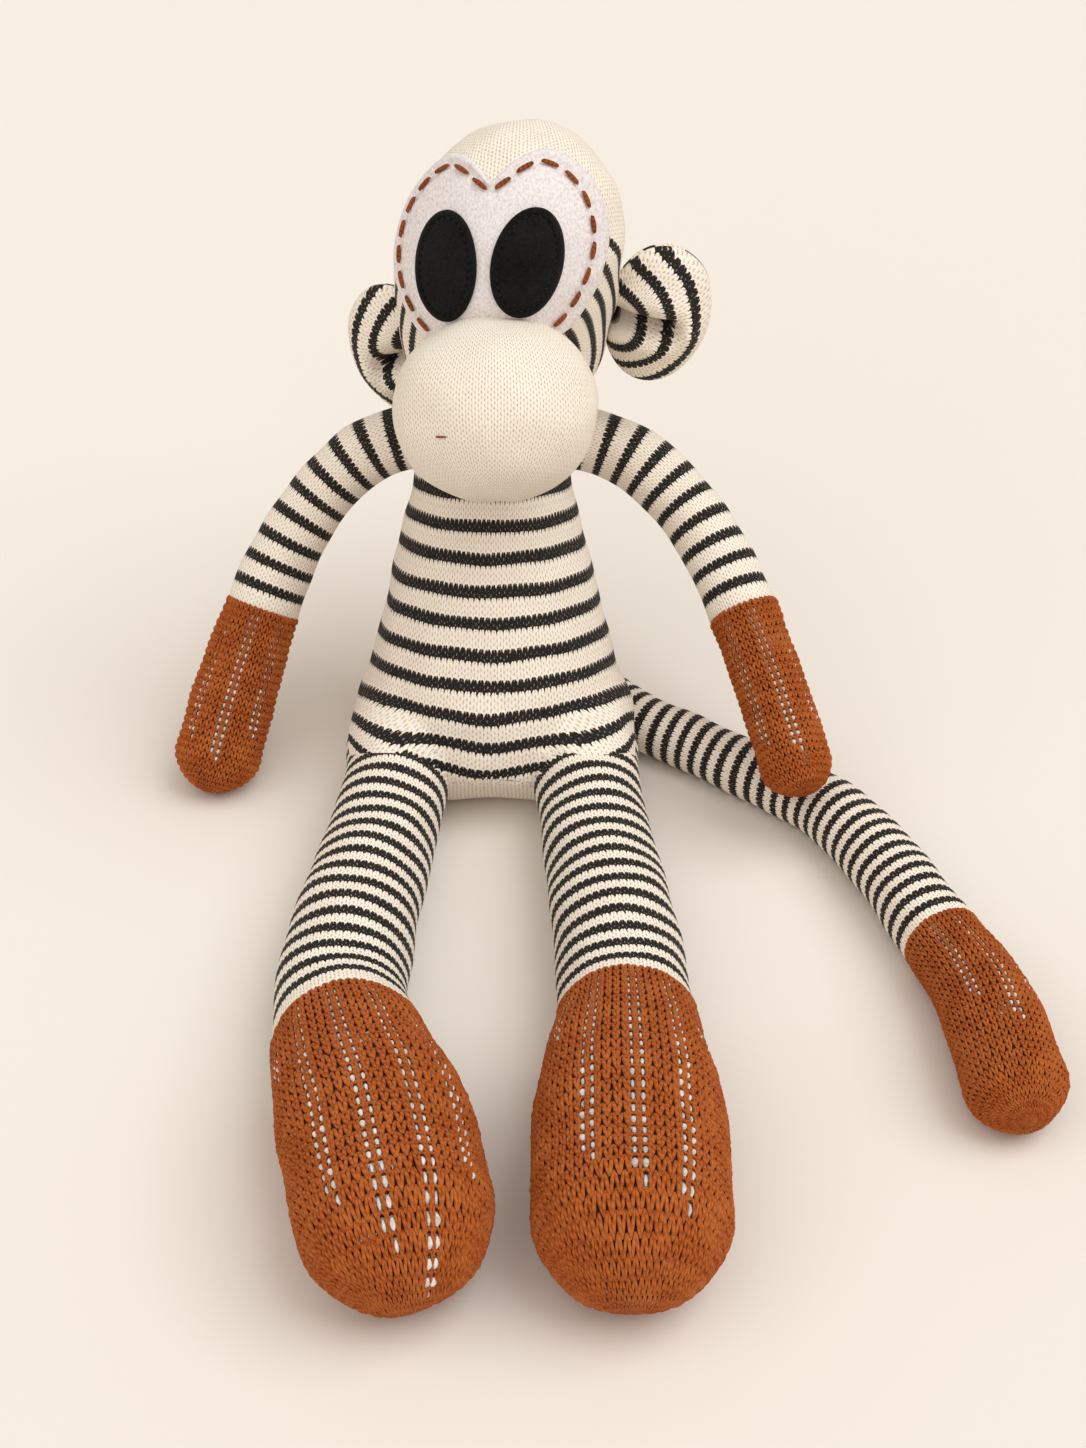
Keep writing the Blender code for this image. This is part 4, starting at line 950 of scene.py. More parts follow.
def torso_skin(level, turn, inset=0.0):
    """A point on the torso. Turn 0 is the toy's left, and it goes round by the back."""
    middle, wide, deep = torso_ring(level)
    middle, wide, deep, level, turn = np.broadcast_arrays(middle, wide, deep, level, turn)
    wide, deep = wide - inset, deep - inset
    ray = unit(np.stack([wide * np.cos(turn), deep * np.sin(turn)], -1))
    # The front runs out over the top of each leg, as far as the fold where the leg is sewn on.
    # Below the seam the leg itself is there, so the hips shrink back inside it
    inside_leg = 0.80 + 0.20 * smoothstep((level - 0.0205) / 0.008)
    near, beyond = np.zeros(level.shape), np.full(level.shape, 0.10)
    for _ in range(22):
        half = (near + beyond) / 2
        x, y = ray[..., 0] * half, ray[..., 1] * half + middle
        forms = [(x / wide) ** 2 + ((y - middle) / deep) ** 2]
        for hip in HIPS.values():
            across = (x - hip[0]) / ((HIP_HALVES[0] - inset) * inside_leg)
            forward = (y - hip[1]) / ((HIP_HALVES[1] - inset) * inside_leg)
            up = (level - hip[2]) / (HIP_HALVES[2] - inset)
            forms.append(across**2 + forward**2 + up**2)
        # The two forms run into each other like one sock, with no crease between them
        joined = -np.log(sum(np.exp(-9 * (form - 1)) for form in forms)) / 9
        near, beyond = np.where(joined < 0, half, near), np.where(joined < 0, beyond, half)
    return np.stack([ray[..., 0] * near, ray[..., 1] * near + middle, level], -1)


def seam_level(turn):
    """Height of the seat's seam. It rises towards the back, and is pulled up at the crotch."""
    level = np.full(np.shape(turn), 0.025)
    for _ in range(5):
        x, y = (torso_skin(level, turn)[..., k] for k in (0, 1))
        crotch = 0.0040 * np.exp(-((x / 0.014) ** 2)) * smoothstep(-y / 0.03)
        level = 0.025 + (y + SEAT_SET_BACK) * math.tan(math.radians(4)) + crotch
    return level


def drawn_back(points, below):
    """Between the legs the seat draws back as it goes down, so it lies in its own shade."""
    between_legs = np.exp(-((points[..., 0] / 0.020) ** 2)) * (points[..., 1] < 0)
    points[..., 1] += 0.008 * smoothstep(below * 1.3) * between_legs
    return points


# Where each black stripe crosses the middle of the front, from the top down
STRIPE_HEIGHTS = np.array(
    (0.1137, 0.1048, 0.0959, 0.0865, 0.0774, 0.0679, 0.0585, 0.0486, 0.0383, 0.0278)
)


def torso_rows(points):
    """Rows of knitting below the top stripe, for points on the torso."""
    x, y, z = (points[..., k] for k in range(3))
    across = np.sqrt(x**2 + 0.006**2) - 0.006
    crossing = z.copy()
    for _ in range(8):
        middle, wide, deep = torso_ring(np.clip(crossing, 0.004, 0.123))
        front = middle - deep
        lean = np.radians(np.interp(crossing, (0.02, 0.05, 0.075, 0.115), (24, 24, 20, 20)))
        pull = np.interp(crossing, (0.02, 0.035, 0.06, 0.085), (0.28, 0.16, 0.04, 0.0))
        facing = smoothstep((middle - y) / deep * 1.6)
        # Over the legs the cloth runs forwards, so its rows are counted along it there
        forward = np.where(y > front, np.tan(lean), 0.84) * (y - front)
        crossing = z + forward - pull * facing * across
    heights = STRIPE_HEIGHTS[::-1]
    count = np.arange(len(heights) - 1, -1, -1) * TORSO_REPEAT
    inside = np.interp(crossing, heights, count)
    pitch = 0.0100 / TORSO_REPEAT
    above = np.where(crossing > heights[-1], (crossing - heights[-1]) / 0.0089 * TORSO_REPEAT, 0)
    below = np.where(crossing < heights[0], (heights[0] - crossing) / pitch, 0)
    return inside - above + below


turns, share = around(220)
closing = np.concatenate([turns, [math.tau]])
steps = np.linspace(0, 1, 150)[:, None] ** 1.3
top = 0.935 * TORSO_HEIGHT - GROUND_FLAT
levels = seam_level(closing)[None, :] * (1 - steps) + top * steps
points = torso_skin(levels, closing[None, :])
counted = 100 * TORSO_REPEAT - torso_rows(points)
out = unit(points - np.stack([points[..., 0] * 0, torso_ring(levels)[0], levels], -1))
points = points + out * lumps(points, 0.0005)[..., None]
points = points[:, :-1]
wales = np.broadcast_to(share[None, :] * 106, counted.shape)
torso = knit_skin("torso_sock", points, wales, counted, torso_knit)
finish_cloth(torso, "torso_body", "striped_knit", "torso", fill=0.85)

steps = np.linspace(0, 1, 40)[:, None]
seat_top = seam_level(closing)[None, :]
levels = seat_top * (1 - steps) + 0.0004 * steps
side_points = drawn_back(torso_skin(levels, closing[None, :]), steps)
inner = np.linspace(0, 1, 14)[1:, None]
floor_ring = side_points[-1][None]
centre = np.array((0, -SEAT_SET_BACK, 0.0004))
base_points = floor_ring * (1 - inner[..., None]) + centre * inner[..., None]
points = np.concatenate([side_points, base_points])
lengths = np.linalg.norm(np.diff(points, axis=0), axis=-1)
counted = -np.concatenate([np.zeros((1, points.shape[1])), np.cumsum(lengths, axis=0)]) / 0.0019
wales = np.broadcast_to(share[None, :] * 110, counted.shape)
seat = knit_skin("seat_panel_sock", points[:, :-1], wales, counted, cream_knit)
finish_cloth(seat, "torso_body", "cream_knit", "seat_panel", fill=0.85)

levels = np.linspace(0.004, 0.118, 40)[:, None]
body_turns, body_share = around(48)
points = torso_skin(levels, body_turns[None, :], inset=0.0025)
points = drawn_back(points, 1 - levels / 0.029)
ends =[np.broadcast_to(points[k].mean(axis=0), (1, *points[k].shape)) for k in (0, -1)]
points = np.concatenate([ends[0], points, ends[1]])
blank = np.zeros((len(points), 49))
filling = knit_skin("torso_filling", points, blank, blank, filling_fibre)
finish_cloth(filling, "torso_body", "stuffing", "torso_stuffing")

# %% [markdown]
# The neck is a small ball of sock that was gathered with a running thread, so it is pleated.

# %% Neck
NECK = np.array((0.0, 0.042, 0.1295))
turns, share = around(132)
tilts = np.linspace(-math.pi / 2, math.pi / 2, 40)[:, None]
pleats = 0.0163 - 0.0005 * (1 - np.cos(22 * turns))[None, :] * np.cos(tilts) ** 0.5
ball = np.stack(
    [pleats * np.cos(tilts) * np.cos(turns), pleats * np.cos(tilts) * np.sin(turns),
     np.broadcast_to(0.0163 * np.sin(tilts), pleats.shape)], -1
)
counted = np.broadcast_to(tilts * 0.0163 / 0.0019, (40, 133))
wales = np.broadcast_to(share[None, :] * 44, counted.shape)
neck = knit_skin("neck_gather", ball + NECK, wales, counted, cream_knit)
finish_cloth(neck, "neck_body", "cream_knit", "neck")

# %% [markdown]
# The head is one sock end pulled over a ball of filling, heel forwards. Its wales are meridians
# round an axis that points forwards and down through the muzzle, and its rows are circles round
# that axis, so the skin is made in the same way: a ray from the middle of the head for each wale
# and row. The front of it is striped and makes the cheeks, and the rest is plain cream.

# %% Head
HEAD_WIDTH, HEAD_DEPTH, HEAD_HEIGHT, HEAD_LEAN, HEAD_LOWER_SHARE = 0.0845, 0.090, 0.1136, 0.018, 0.555
HEAD_MATRIX = (
    Matrix.Translation(Vector(NECK) + Vector((0.0070, 0, 0.0615)))
    @ Matrix.Rotation(math.radians(-6.5), 4, "Z")
    @ Matrix.Rotation(math.radians(-6.5), 4, "Y")
)
HEAD_LEVELS = np.array(
    (
        (0.000, 0.28),
        (0.050, 0.50),
        (0.092, 0.68),
        (0.135, 0.80),
        (0.190, 0.87),
        (0.274, 0.91),
        (0.403, 0.96),
        (0.532, 0.99),
        (0.617, 1.00),
        (0.703, 0.95),
        (0.789, 0.86),
        (0.858, 0.73),
        (0.918, 0.58),
        (0.961, 0.42),
        (0.991, 0.22),
        (1.000, 0.0),
    )
)


def placed(matrix, points):
    """The points of a frame, in the toy's own frame."""
    return points @ np.array(matrix.to_3x3()).T + np.array(matrix.translation)


def outside_head(points, lift):
    """Above 1 outside the head grown by this much, and below 1 inside."""
    x, y, z = (points[..., k] for k in range(3))
    height = HEAD_HEIGHT + 2 * lift
    share = (z + HEAD_LOWER_SHARE * HEAD_HEIGHT + lift) / height
    held = np.clip(share, 0, 1)
    # The crown's last levels close quickly, so they follow a round end and not a cubic
    width = smooth_through(HEAD_LEVELS[:, 0], HEAD_LEVELS[:, 1], held)
    round_end = 0.42 * np.sqrt(np.clip((1 - held) / 0.039, 0, 1))
    width = np.where(held > 0.961, round_end, width)
    wide = width * HEAD_WIDTH / 2 + lift * np.where(held > 0.97, width / 0.42, 1) + 1e-5
    deep = width * HEAD_DEPTH / 2 + lift * np.where(held > 0.97, width / 0.42, 1) + 1e-5
    middle = HEAD_LEAN * z / HEAD_HEIGHT
    form = ((x - middle) / wide) ** 2 + (y / deep) ** 2
    return np.where((share < 0) | (share > 1), 9.0, form)


def meet_head(starts, rays, lift, far=0.09):
    """Where rays from inside the head leave the head grown by this much, in the head's frame."""
    near = np.zeros(np.broadcast_shapes(starts.shape, rays.shape)[:-1])
    beyond = near + far
    for _ in range(26):
        half = (near + beyond) / 2
        inside = outside_head(starts + rays * half[..., None], lift) < 1
        near, beyond = np.where(inside, half, near), np.where(inside, beyond, half)
    return starts + rays * near[..., None]


MUZZLE_AXIS = np.array((0, -math.cos(math.radians(29)), -math.sin(math.radians(29))))
AXIS_SIDE = np.array((1.0, 0, 0))
AXIS_UP = np.cross(AXIS_SIDE, MUZZLE_AXIS)


def head_rays(opening, azimuth):
    """Rays that open from the muzzle's axis by one angle and go round it by the other."""
    opening, azimuth = np.broadcast_arrays(opening, azimuth)
    ring = np.cos(azimuth)[..., None] * AXIS_UP + np.sin(azimuth)[..., None] * AXIS_SIDE
    return np.cos(opening)[..., None] * MUZZLE_AXIS + np.sin(opening)[..., None] * ring


turns, share = around(180)
closing = np.concatenate([turns, [math.tau]])
seam_angle = np.full(closing.shape, math.pi / 2)
for _ in range(6):
    reach = np.linalg.norm(meet_head(np.zeros(3), head_rays(seam_angle, closing), 0), axis=-1)
    seam_angle = np.arccos(0.004 / reach)
HEAD_WALES = 112


def head_skin(name, start, end, steps, material):
    """Part of the head between two openings from the muzzle's axis."""
    fade = np.linspace(0, 1, steps)[:, None]
    opening = start * (1 - fade) + end * fade
    local = meet_head(np.zeros(3), head_rays(opening, closing[None, :]), 0)
    local = local + unit(local) * lumps(local + 0.3, 0.0005)[..., None]
    rows = np.degrees(opening) / 11.2 * CHEEK_REPEAT
    rows = np.broadcast_to(rows, local.shape[:2]) + (10 - 36.0 / 11.2) * CHEEK_REPEAT
    across = np.broadcast_to(share[None, :] * HEAD_WALES, rows.shape)
    return knit_skin(name, placed(HEAD_MATRIX, local)[:, :-1], across, rows, material)


cheeks = head_skin("head_cheeks_sock", np.full(closing.shape, 0.02), seam_angle, 90, cheek_knit)
crown = head_skin("head_crown_sock", seam_angle, np.full(closing.shape, math.pi - 0.0005), 120,
                  cream_knit)
finish_cloth(cheeks, "head_body", "striped_knit", "head_cheeks", fill=0.9)
finish_cloth(crown, "head_body", "cream_knit", "head_crown", fill=0.9)
inner_turns, inner_share = around(48)
opening = np.linspace(0.001, math.pi - 0.001, 40)[:, None]
local = meet_head(np.zeros(3), head_rays(opening, inner_turns[None, :]), -0.0025)
blank = np.zeros((40, 49))
filling = knit_skin("head_filling", placed(HEAD_MATRIX, local), blank, blank, filling_fibre)
finish_cloth(filling, "head_body", "stuffing", "head_stuffing", fill=0.9)

# %% [markdown]
# The muzzle is the heel of a second sock, drawn together underneath and sewn to the face. Its
# wales run down and meet at that gather, so the skin is an ellipsoid with its pole there, and a
# few pleats and a dimple round the pole show where the thread pulls.

# %% Muzzle
MUZZLE_MATRIX = (
    Matrix.Translation(HEAD_MATRIX.translation + Vector((-0.0045, -0.0545, -0.0285)))
    @ Matrix.Rotation(math.radians(-6.5), 4, "Z")
    @ Matrix.Rotation(math.radians(-6.5), 4, "Y")
    @ Matrix.Rotation(math.radians(20), 4, "X")
)
MUZZLE_HALVES = np.array((0.0732, 0.068, 0.066)) / 2
world_pole = Vector((0.0, -0.60, -0.80)).normalized()
pole = np.array((MUZZLE_MATRIX.to_3x3().inverted() @ world_pole).normalized())
pole_side = unit(np.cross(pole, np.array((0.0, 1, 0))))
pole_up = np.cross(pole_side, pole)


def muzzle_skin(opening, azimuth, lift=0.0):
    """Points on the muzzle, by the angle from its gather and the turn round it."""
    opening, azimuth = np.broadcast_arrays(opening, azimuth)
    ring = np.cos(azimuth)[..., None] * pole_up + np.sin(azimuth)[..., None] * pole_side
    ray = np.cos(opening)[..., None] * pole + np.sin(opening)[..., None] * ring
    reach = 1 / np.sqrt(np.sum((ray / MUZZLE_HALVES) ** 2, -1))
    near = np.exp(-((opening / 0.16) ** 2))
    pleat = np.exp(-(((opening - 0.13) / 0.11) ** 2)) * np.cos(azimuth * 15)
    reach = reach + lift - 0.0022 * near + 0.00030 * pleat
    return ray * reach[..., None]


turns, share = around(180)
opening = np.concatenate([np.linspace(0.002, 0.4, 30), np.linspace(0.41, math.pi - 0.002, 100)])
local = muzzle_skin(opening[:, None], turns[None, :])
local = local + unit(local) * lumps(local + 0.1, 0.0004)[..., None]
counted = np.broadcast_to(opening[:, None] * 0.0342 / 0.0019, (len(opening), 181))
wales = np.broadcast_to(share[None, :] * 94, counted.shape)
muzzle = knit_skin("muzzle_sock", placed(MUZZLE_MATRIX, local), wales, counted, cream_knit)
finish_cloth(muzzle, "head_body", "cream_knit", "muzzle", fill=0.95)
local = muzzle_skin(np.linspace(0.002, math.pi - 0.002, 30)[:, None], inner_turns[None, :], -0.0025)
blank = np.zeros((30, 49))
filling = knit_skin("muzzle_filling", placed(MUZZLE_MATRIX, local), blank, blank, filling_fibre)
finish_cloth(filling, "head_body", "stuffing", "muzzle_stuffing", fill=0.95)

# %% [markdown]
# The face is a heart of brushed white jersey, turned under at its edge and held by rust running
# stitches. It is made of rings that follow its outline inwards, each dropped onto the head, and
# each stitch pulls a small hollow into it. The eyes are ovals of black felt, made the same way.

# %% Face patch
FACE_TILT = Matrix.Rotation(math.radians(-25), 4, "X")
PATCH_TOP = 0.0019
HALF_OUTLINE = (
    (0.00, 0.76),
    (0.10, 0.845),
    (0.20, 0.93),
    (0.31, 0.985),
    (0.45, 1.00),
    (0.61, 0.93),
    (0.75, 0.81),
    (0.86, 0.66),
    (0.95, 0.44),
    (0.985, 0.18),
    (0.95, -0.06),
    (0.88, -0.26),
    (0.77, -0.45),
    (0.64, -0.60),
    (0.45, -0.68),
    (0.25, -0.70),
    (0.00, -0.71),
)


def on_face(flat, height):
    """Points over the face's own plane, at a height above the head, in the toy's frame."""
    turn = np.array(FACE_TILT.to_3x3())
    starts = np.stack([flat[..., 0], flat[..., 0] * 0, flat[..., 1]], -1) @ turn.T
    ray = turn @ np.array((0, -1.0, 0))
    heights = np.broadcast_to(height, flat.shape[:-1])
    low, high = np.floor(heights * 2500) / 2500, np.floor(heights * 2500) / 2500 + 0.0004
    near = np.zeros(flat.shape[:-1])
    for level in np.unique(low):
        here = low == level
        below = meet_head(starts[here], np.broadcast_to(ray, starts[here].shape), level)
        above = meet_head(starts[here], np.broadcast_to(ray, starts[here].shape), level + 0.0004)
        part = ((heights - low) / (high - low))[here]
        reach_low = (below - starts[here]) @ ray
        reach_high = (above - starts[here]) @ ray
        near[here] = reach_low * (1 - part) + reach_high * part
    return placed(HEAD_MATRIX, starts + ray * near[..., None])


def closed_curve(corners, count):
    """Evenly spaced points on a smooth closed curve through the corners."""
    corners = np.array(corners, float)
    fine = []
    for k in range(len(corners)):
        a, b, c, d = (corners[(k + j) % len(corners)] for j in (-1, 0, 1, 2))
        for t in np.arange(16) / 16:
            bend = (2 * a - 5 * b + 4 * c - d) * t**2 + (3 * b - a - 3 * c + d) * t**3
            fine.append(b + ((c - a) * t + bend) / 2)
    fine = np.array([*fine, fine[0]])
    reached = np.concatenate([[0], np.cumsum(np.linalg.norm(np.diff(fine, axis=0), axis=1))])
    wanted = np.linspace(0, reached[-1], count, endpoint=False)
    return np.stack([np.interp(wanted, reached, fine[:, k]) for k in (0, 1)], -1)


half = [(x * 0.0400, z * 0.0395) for x, z in HALF_OUTLINE]
outline = [*half, *[(-x, z) for x, z in reversed(half[1:-1])]]
outline = [(x + 0.5 * HEAD_LEAN * z / HEAD_HEIGHT, z) for x, z in outline]
edge = closed_curve(outline, 300)


def inset_outline(corners, inset):
    """The outline moved inwards, by its corners' own normals."""
    moved = []
    for k, (x, z) in enumerate(corners):
        before, after = corners[k - 1], corners[(k + 1) % len(corners)]
        along = Vector((after[0] - before[0], after[1] - before[1])).normalized()
        moved.append((x + inset * along.y, z - inset * along.x))
    return moved


def stitch_places():
    """Ends of each running stitch in the face's plane: 10 down each side from the notch."""
    places = []
    corners = inset_outline(outline, 0.0036)
    count = len(HALF_OUTLINE)
    for run in ([corners[0], *corners[: count - 2 : -1]], corners[:count]):
        run = Limb([(x, 0, z) for x, z in run], ((0, 0.001), (1, 0.001)), (0, 1.0, 0))
        for middle in np.linspace(0.045, 0.765, 10) * run.length:
            ends = []
            for part in (-0.5, 0.5):
                at = middle + part * 0.0066
                ends.append([np.interp(at, run.reached, run.points[:, k]) for k in (0, 2)])
            places.append(ends)
    return np.array(places)


running_stitches = stitch_places()
hollows = running_stitches.reshape(-1, 2)
insets = np.array([0, 0, 0.0003, 0.0008, 0.0016, 0.0026, 0.0036, 0.0046, 0.0060])
heights = np.array([0.0002, 0.0010, 0.0016, 0.0020, 0.0021, 0.0019, 0.0018, 0.0019, 0.0019])
rings = []
edge_middle = np.array((0.0, 0.0))
spokes = edge - edge_middle
reach = np.linalg.norm(spokes, axis=-1, keepdims=True)
for inset in insets:
    rings.append(edge - spokes / reach * inset)
for share_in in np.linspace(0.82, 0.0, 34):
    rings.append(edge_middle + (rings[len(insets) - 1] - edge_middle) * share_in)
flat = np.array(rings)
lift = np.concatenate([heights, np.full(34, PATCH_TOP)])[:, None] + np.zeros(flat.shape[1])
away = np.linalg.norm(flat[:, :, None, :] - hollows[None, None], axis=-1).min(-1)
lift = lift - 0.0009 * np.exp(-((away / 0.0017) ** 2)) * (lift > 0.0012)
middles = running_stitches.mean(axis=1)
between = np.linalg.norm(flat[:, :, None, :] - middles[None, None], axis=-1).min(-1)
lift = lift - 0.0003 * np.exp(-((between / 0.0030) ** 2)) * (lift > 0.0012)
points = on_face(flat, lift)
uv = np.concatenate([flat, flat[:, :1]], axis=1)


# %% Brushed jersey
def jersey_material():
    """Jersey brushed until its stitches are nearly hidden: faint columns under a white nap."""
    material, tree, output = new_material("brushed white jersey")
    stitches = add_node(tree, "ShaderNodeUVMap", uv_map="stitches").outputs["UV"]
    place = add_node(tree, "ShaderNodeTexCoord").outputs["Object"]
    # Marks 0.7 mm wide and 1.2 mm long, which is how the columns show through the nap
    stretched = add_node(
        tree, "ShaderNodeMapping", {"Vector": stitches, "Scale": (1400.0, 800.0, 1.0)}
    ).outputs[0]
    marks = add_node(
        tree, "ShaderNodeTexNoise", {"Vector": stretched, "Scale": 1.0, "Detail": 2.0}
    ).outputs[0]
    nap = add_node(
        tree, "ShaderNodeTexNoise", {"Vector": place, "Scale": 900.0, "Detail": 4.0}
    ).outputs[0]
    both = add_node(tree, "ShaderNodeMath", {0: nap, 1: 0.6, 2: marks}, operation="MULTIPLY_ADD")
    lit = add_node(
        tree,
        "ShaderNodeMapRange",
        {"Value": both.outputs[0], "From Min": 0.58, "From Max": 0.92},
    ).outputs[0]
    colour = add_node(
        tree,
        "ShaderNodeMix",
        {0: lit, 6: linear(PATCH_SHADE), 7: linear(PATCH_FIBRE)},
        data_type="RGBA",
    ).outputs[2]
    bump = add_node(
        tree,
        "ShaderNodeBump",
        {"Strength": 0.55, "Distance": 0.0004, "Height": both.outputs[0]},
    ).outputs[0]
    rough = add_node(
        tree, "ShaderNodeMapRange", {"Value": nap, "To Min": 0.85, "To Max": 1.0}
    ).outputs[0]
    cloth = add_node(
        tree,
        "ShaderNodeBsdfPrincipled",
        {
            "Base Color": colour,
            "Roughness": rough,
            "IOR": 1.47,
            "Specular IOR Level": 0.2,
            "Sheen Weight": 0.05,
            "Sheen Roughness": 0.5,
            "Normal": bump,
        },
    )
    tree.links.new(cloth.outputs[0], output.inputs["Surface"])
    return material


jersey = jersey_material()
patch = knit_skin("face_patch_jersey", points, uv[..., 0], uv[..., 1], jersey)
finish_cloth(patch, "head_body", "white_felt", "face_patch", fill=0)

# %% [markdown]
# Stitches on top of the cloth are short lengths of twisted thread: a bead that is fat in the
# middle, with its ends pulled down into the cloth and its surface grooved by the plies.


# %% Thread beads
def thread_bead(start, end, normal, width, rise, twist=0.9, lift=0.0):
    """Points of one stitch on a surface: fat, grooved, and sunk at both ends."""
    start, end, normal = (np.array(v, float) for v in (start, end, normal))
    along = unit(end - start)
    across = unit(np.cross(normal, along))
    normal = np.cross(along, across)
    t = np.linspace(0, 1, 19)[:, None]
    turn = np.linspace(0, math.tau, 14, endpoint=False)[None, :]
    swell = np.clip(np.sin(math.pi * t), 0, 1) ** 0.26
    plies = 1 + 0.06 * np.cos(3 * turn - t * twist * math.tau)
    sink = -rise * (1 - swell) ** 1.5 + lift
    middle = start + (end - start) * t[..., None]
    ring = np.cos(turn)[..., None] * across * width / 2 + np.sin(turn)[..., None] * normal * rise
    return middle + ring * (swell * plies)[..., None] + normal * sink[..., None]


def stitched_row(name, beads, material):
    """One piece from a list of beads that all have as many points."""
    points = np.array(beads)
    count, high, wide = points.shape[:3]
    quads, corner_rows, corner_columns = grid_quads(high, wide)
    every = (quads[None] + (np.arange(count) * high * wide)[:, None, None]).reshape(-1, 4)
    one = np.stack([corner_columns / wide, corner_rows / (high - 1)], -1).reshape(-1, 2)
    return mesh_piece(name, points.reshape(-1, 3), every, np.tile(one, (count, 1)), material)


for number, ends in enumerate(running_stitches, 1):
    start, end = on_face(ends, PATCH_TOP + 0.0005)
    towards = on_face((ends.mean(axis=0) * 0.9)[None], PATCH_TOP + 0.0005)[0]
    outward = np.cross(end - start, towards - start)
    if outward @ (start - np.array(HEAD_MATRIX.translation)) < 0:
        outward = -outward
    bead = thread_bead(start, end, unit(outward), 0.0018, 0.0008)
    stitch = stitched_row(f"face_running_stitch_{number:02d}", [bead], rust_thread)
    finish_cloth(stitch, "head_body", "rust_thread", f"face_stitch_{number:02d}", fill=0)

# %% Eyes
EYE_TILTS = {"left": math.radians(-17), "right": math.radians(-6)}
EYE_BED = PATCH_TOP + 0.0003
EYE_HALF_WIDTH, EYE_HALF_HEIGHT, EYES_APART, EYE_STITCHES = 0.0120, 0.01935, 0.0293, 34
for side, sign in SIGNS.items():
    tilt = EYE_TILTS[side]
    turns = np.linspace(0, math.tau, 160, endpoint=False)
    insets = np.array([0, 0, 0.0002, 0.0007, 0.0014, 0.0021, 0.0026, 0.0031, 0.0038, 0.0050])
    heights = np.array([-0.0008, 0.0005, 0.0011, 0.0015, 0.0016, 0.0014, 0.0010, 0.0013, 0.0015, 0.0014])
    rings, rises = [], []
    for inset, height in zip(insets, heights):
        x, z = (EYE_HALF_WIDTH - inset) * np.cos(turns), (EYE_HALF_HEIGHT - inset) * np.sin(turns)
        rings.append(np.stack([x, z], -1))
        rises.append(np.full(160, height))
    for share_in in np.linspace(0.88, 0, 16):
        rings.append(rings[9] * share_in)
        rises.append(np.full(160, 0.0014))
    flat = np.array(rings)
    turn = np.array(((math.cos(tilt), -math.sin(tilt)), (math.sin(tilt), math.cos(tilt))))
    flat = flat @ turn.T + np.array((sign * EYES_APART / 2 - 0.0006, 0.0017))
    rise = np.array(rises)
    # The thread pulls the groove down at each of its stitches
    pulled = 0.5 + 0.5 * np.cos(turns * EYE_STITCHES)
    rise = rise - 0.0004 * np.exp(-(((np.arange(len(rise)) - 6) / 1.2) ** 2))[:, None] * pulled
    points = on_face(flat, EYE_BED + rise)
    blank = np.zeros((len(flat), 161))
    eye = knit_skin(f"eye_{side}_felt", points, blank, blank, black_felt)
    finish_cloth(eye, "head_body", "black_felt", f"eye_{side}", fill=0)
    groove = closed_curve(flat[6][::4], EYE_STITCHES * 4)
    beads = []
    for k in range(EYE_STITCHES):
        start, end = on_face(groove[[k * 4, (k * 4 + 2) % len(groove)]], EYE_BED + 0.0010)
        outward = start - np.array(HEAD_MATRIX.translation)
        beads.append(thread_bead(start, end, unit(outward), 0.0006, 0.0003))
    stitching = stitched_row(f"eye_{side}_stitching", beads, black_thread)
    finish_cloth(stitching, "head_body", "black_felt", fill=0)

# %% Mouth
MOUTH_ACROSS, MOUTH_RISE, MOUTH_LENGTH, MOUTH_SLOPE = -0.0141, 0.0182, 0.0044, 0.0012
mouth_ends = []
for part in (-0.5, 0.5):
    x, z = MOUTH_ACROSS + part * MOUTH_LENGTH, MOUTH_RISE + part * MOUTH_SLOPE
    halves = MUZZLE_HALVES + 0.0004
    y = -halves[1] * math.sqrt(1 - (x / halves[0]) ** 2 - (z / halves[2]) ** 2)
    on_muzzle = np.array((x, y, z))
    on_muzzle = on_muzzle + unit(on_muzzle) * lumps(on_muzzle + 0.1, 0.0004)
    mouth_ends.append(np.array(MUZZLE_MATRIX @ Vector(on_muzzle)))
outward = unit((mouth_ends[0] + mouth_ends[1]) / 2 - np.array(MUZZLE_MATRIX.translation))
bead = thread_bead(mouth_ends[0], mouth_ends[1], outward, 0.0007, 0.0004)
mouth = stitched_row("mouth_thread", [bead], rust_thread)
finish_cloth(mouth, "head_body", "rust_thread", "mouth_stitch", fill=0)

# %% [markdown]
# The seat is sewn to the torso, and the legs into the crotch, by hand with white thread. The
# stitches cross the seam at a slant, and each one is a short bead like those of the face.

# %% Seam stitches
SEAM_STITCH = 0.0032
dice = np.random.default_rng(4)
beads = []
for turn in 1.5 * math.pi + np.linspace(-0.32, 0.32, 13) + dice.normal(0, 0.008, 13):
    level = float(seam_level(np.array(turn)))
    slant, half_stitch = dice.normal(0.03, 0.02), SEAM_STITCH / 2
    start = torso_skin(np.array(level - half_stitch), np.array(turn - slant))
    end = torso_skin(np.array(level + half_stitch), np.array(turn + slant))
    outward = unit((start + end) / 2 - np.array((0, -SEAT_SET_BACK, level)))
    # Where the cloth turns forwards along a leg, the seam is out of sight in the fold
    if np.linalg.norm(end - start) < 1.3 * SEAM_STITCH:
        beads.append(thread_bead(start, end, outward, 0.0007, 0.0005, lift=0.0003))
seam = stitched_row("crotch_stitching", beads, white_thread)
finish_cloth(seam, "torso_body", "cream_knit", fill=0)
print("crotch seam:", len(beads), "stitches")

# %% [markdown]
# Each ear is a stuffed round of striped sock, pinched where it is sewn to the head, with a deep
# crease from the pinch to past its middle. Its stripes are rings round that pinch. It is made as
# a flat ball with its pole in the middle of the front, and then the crease is pressed in. The ear
# stands at its joint, which the frame gives, and faces out as the head's surface does there.

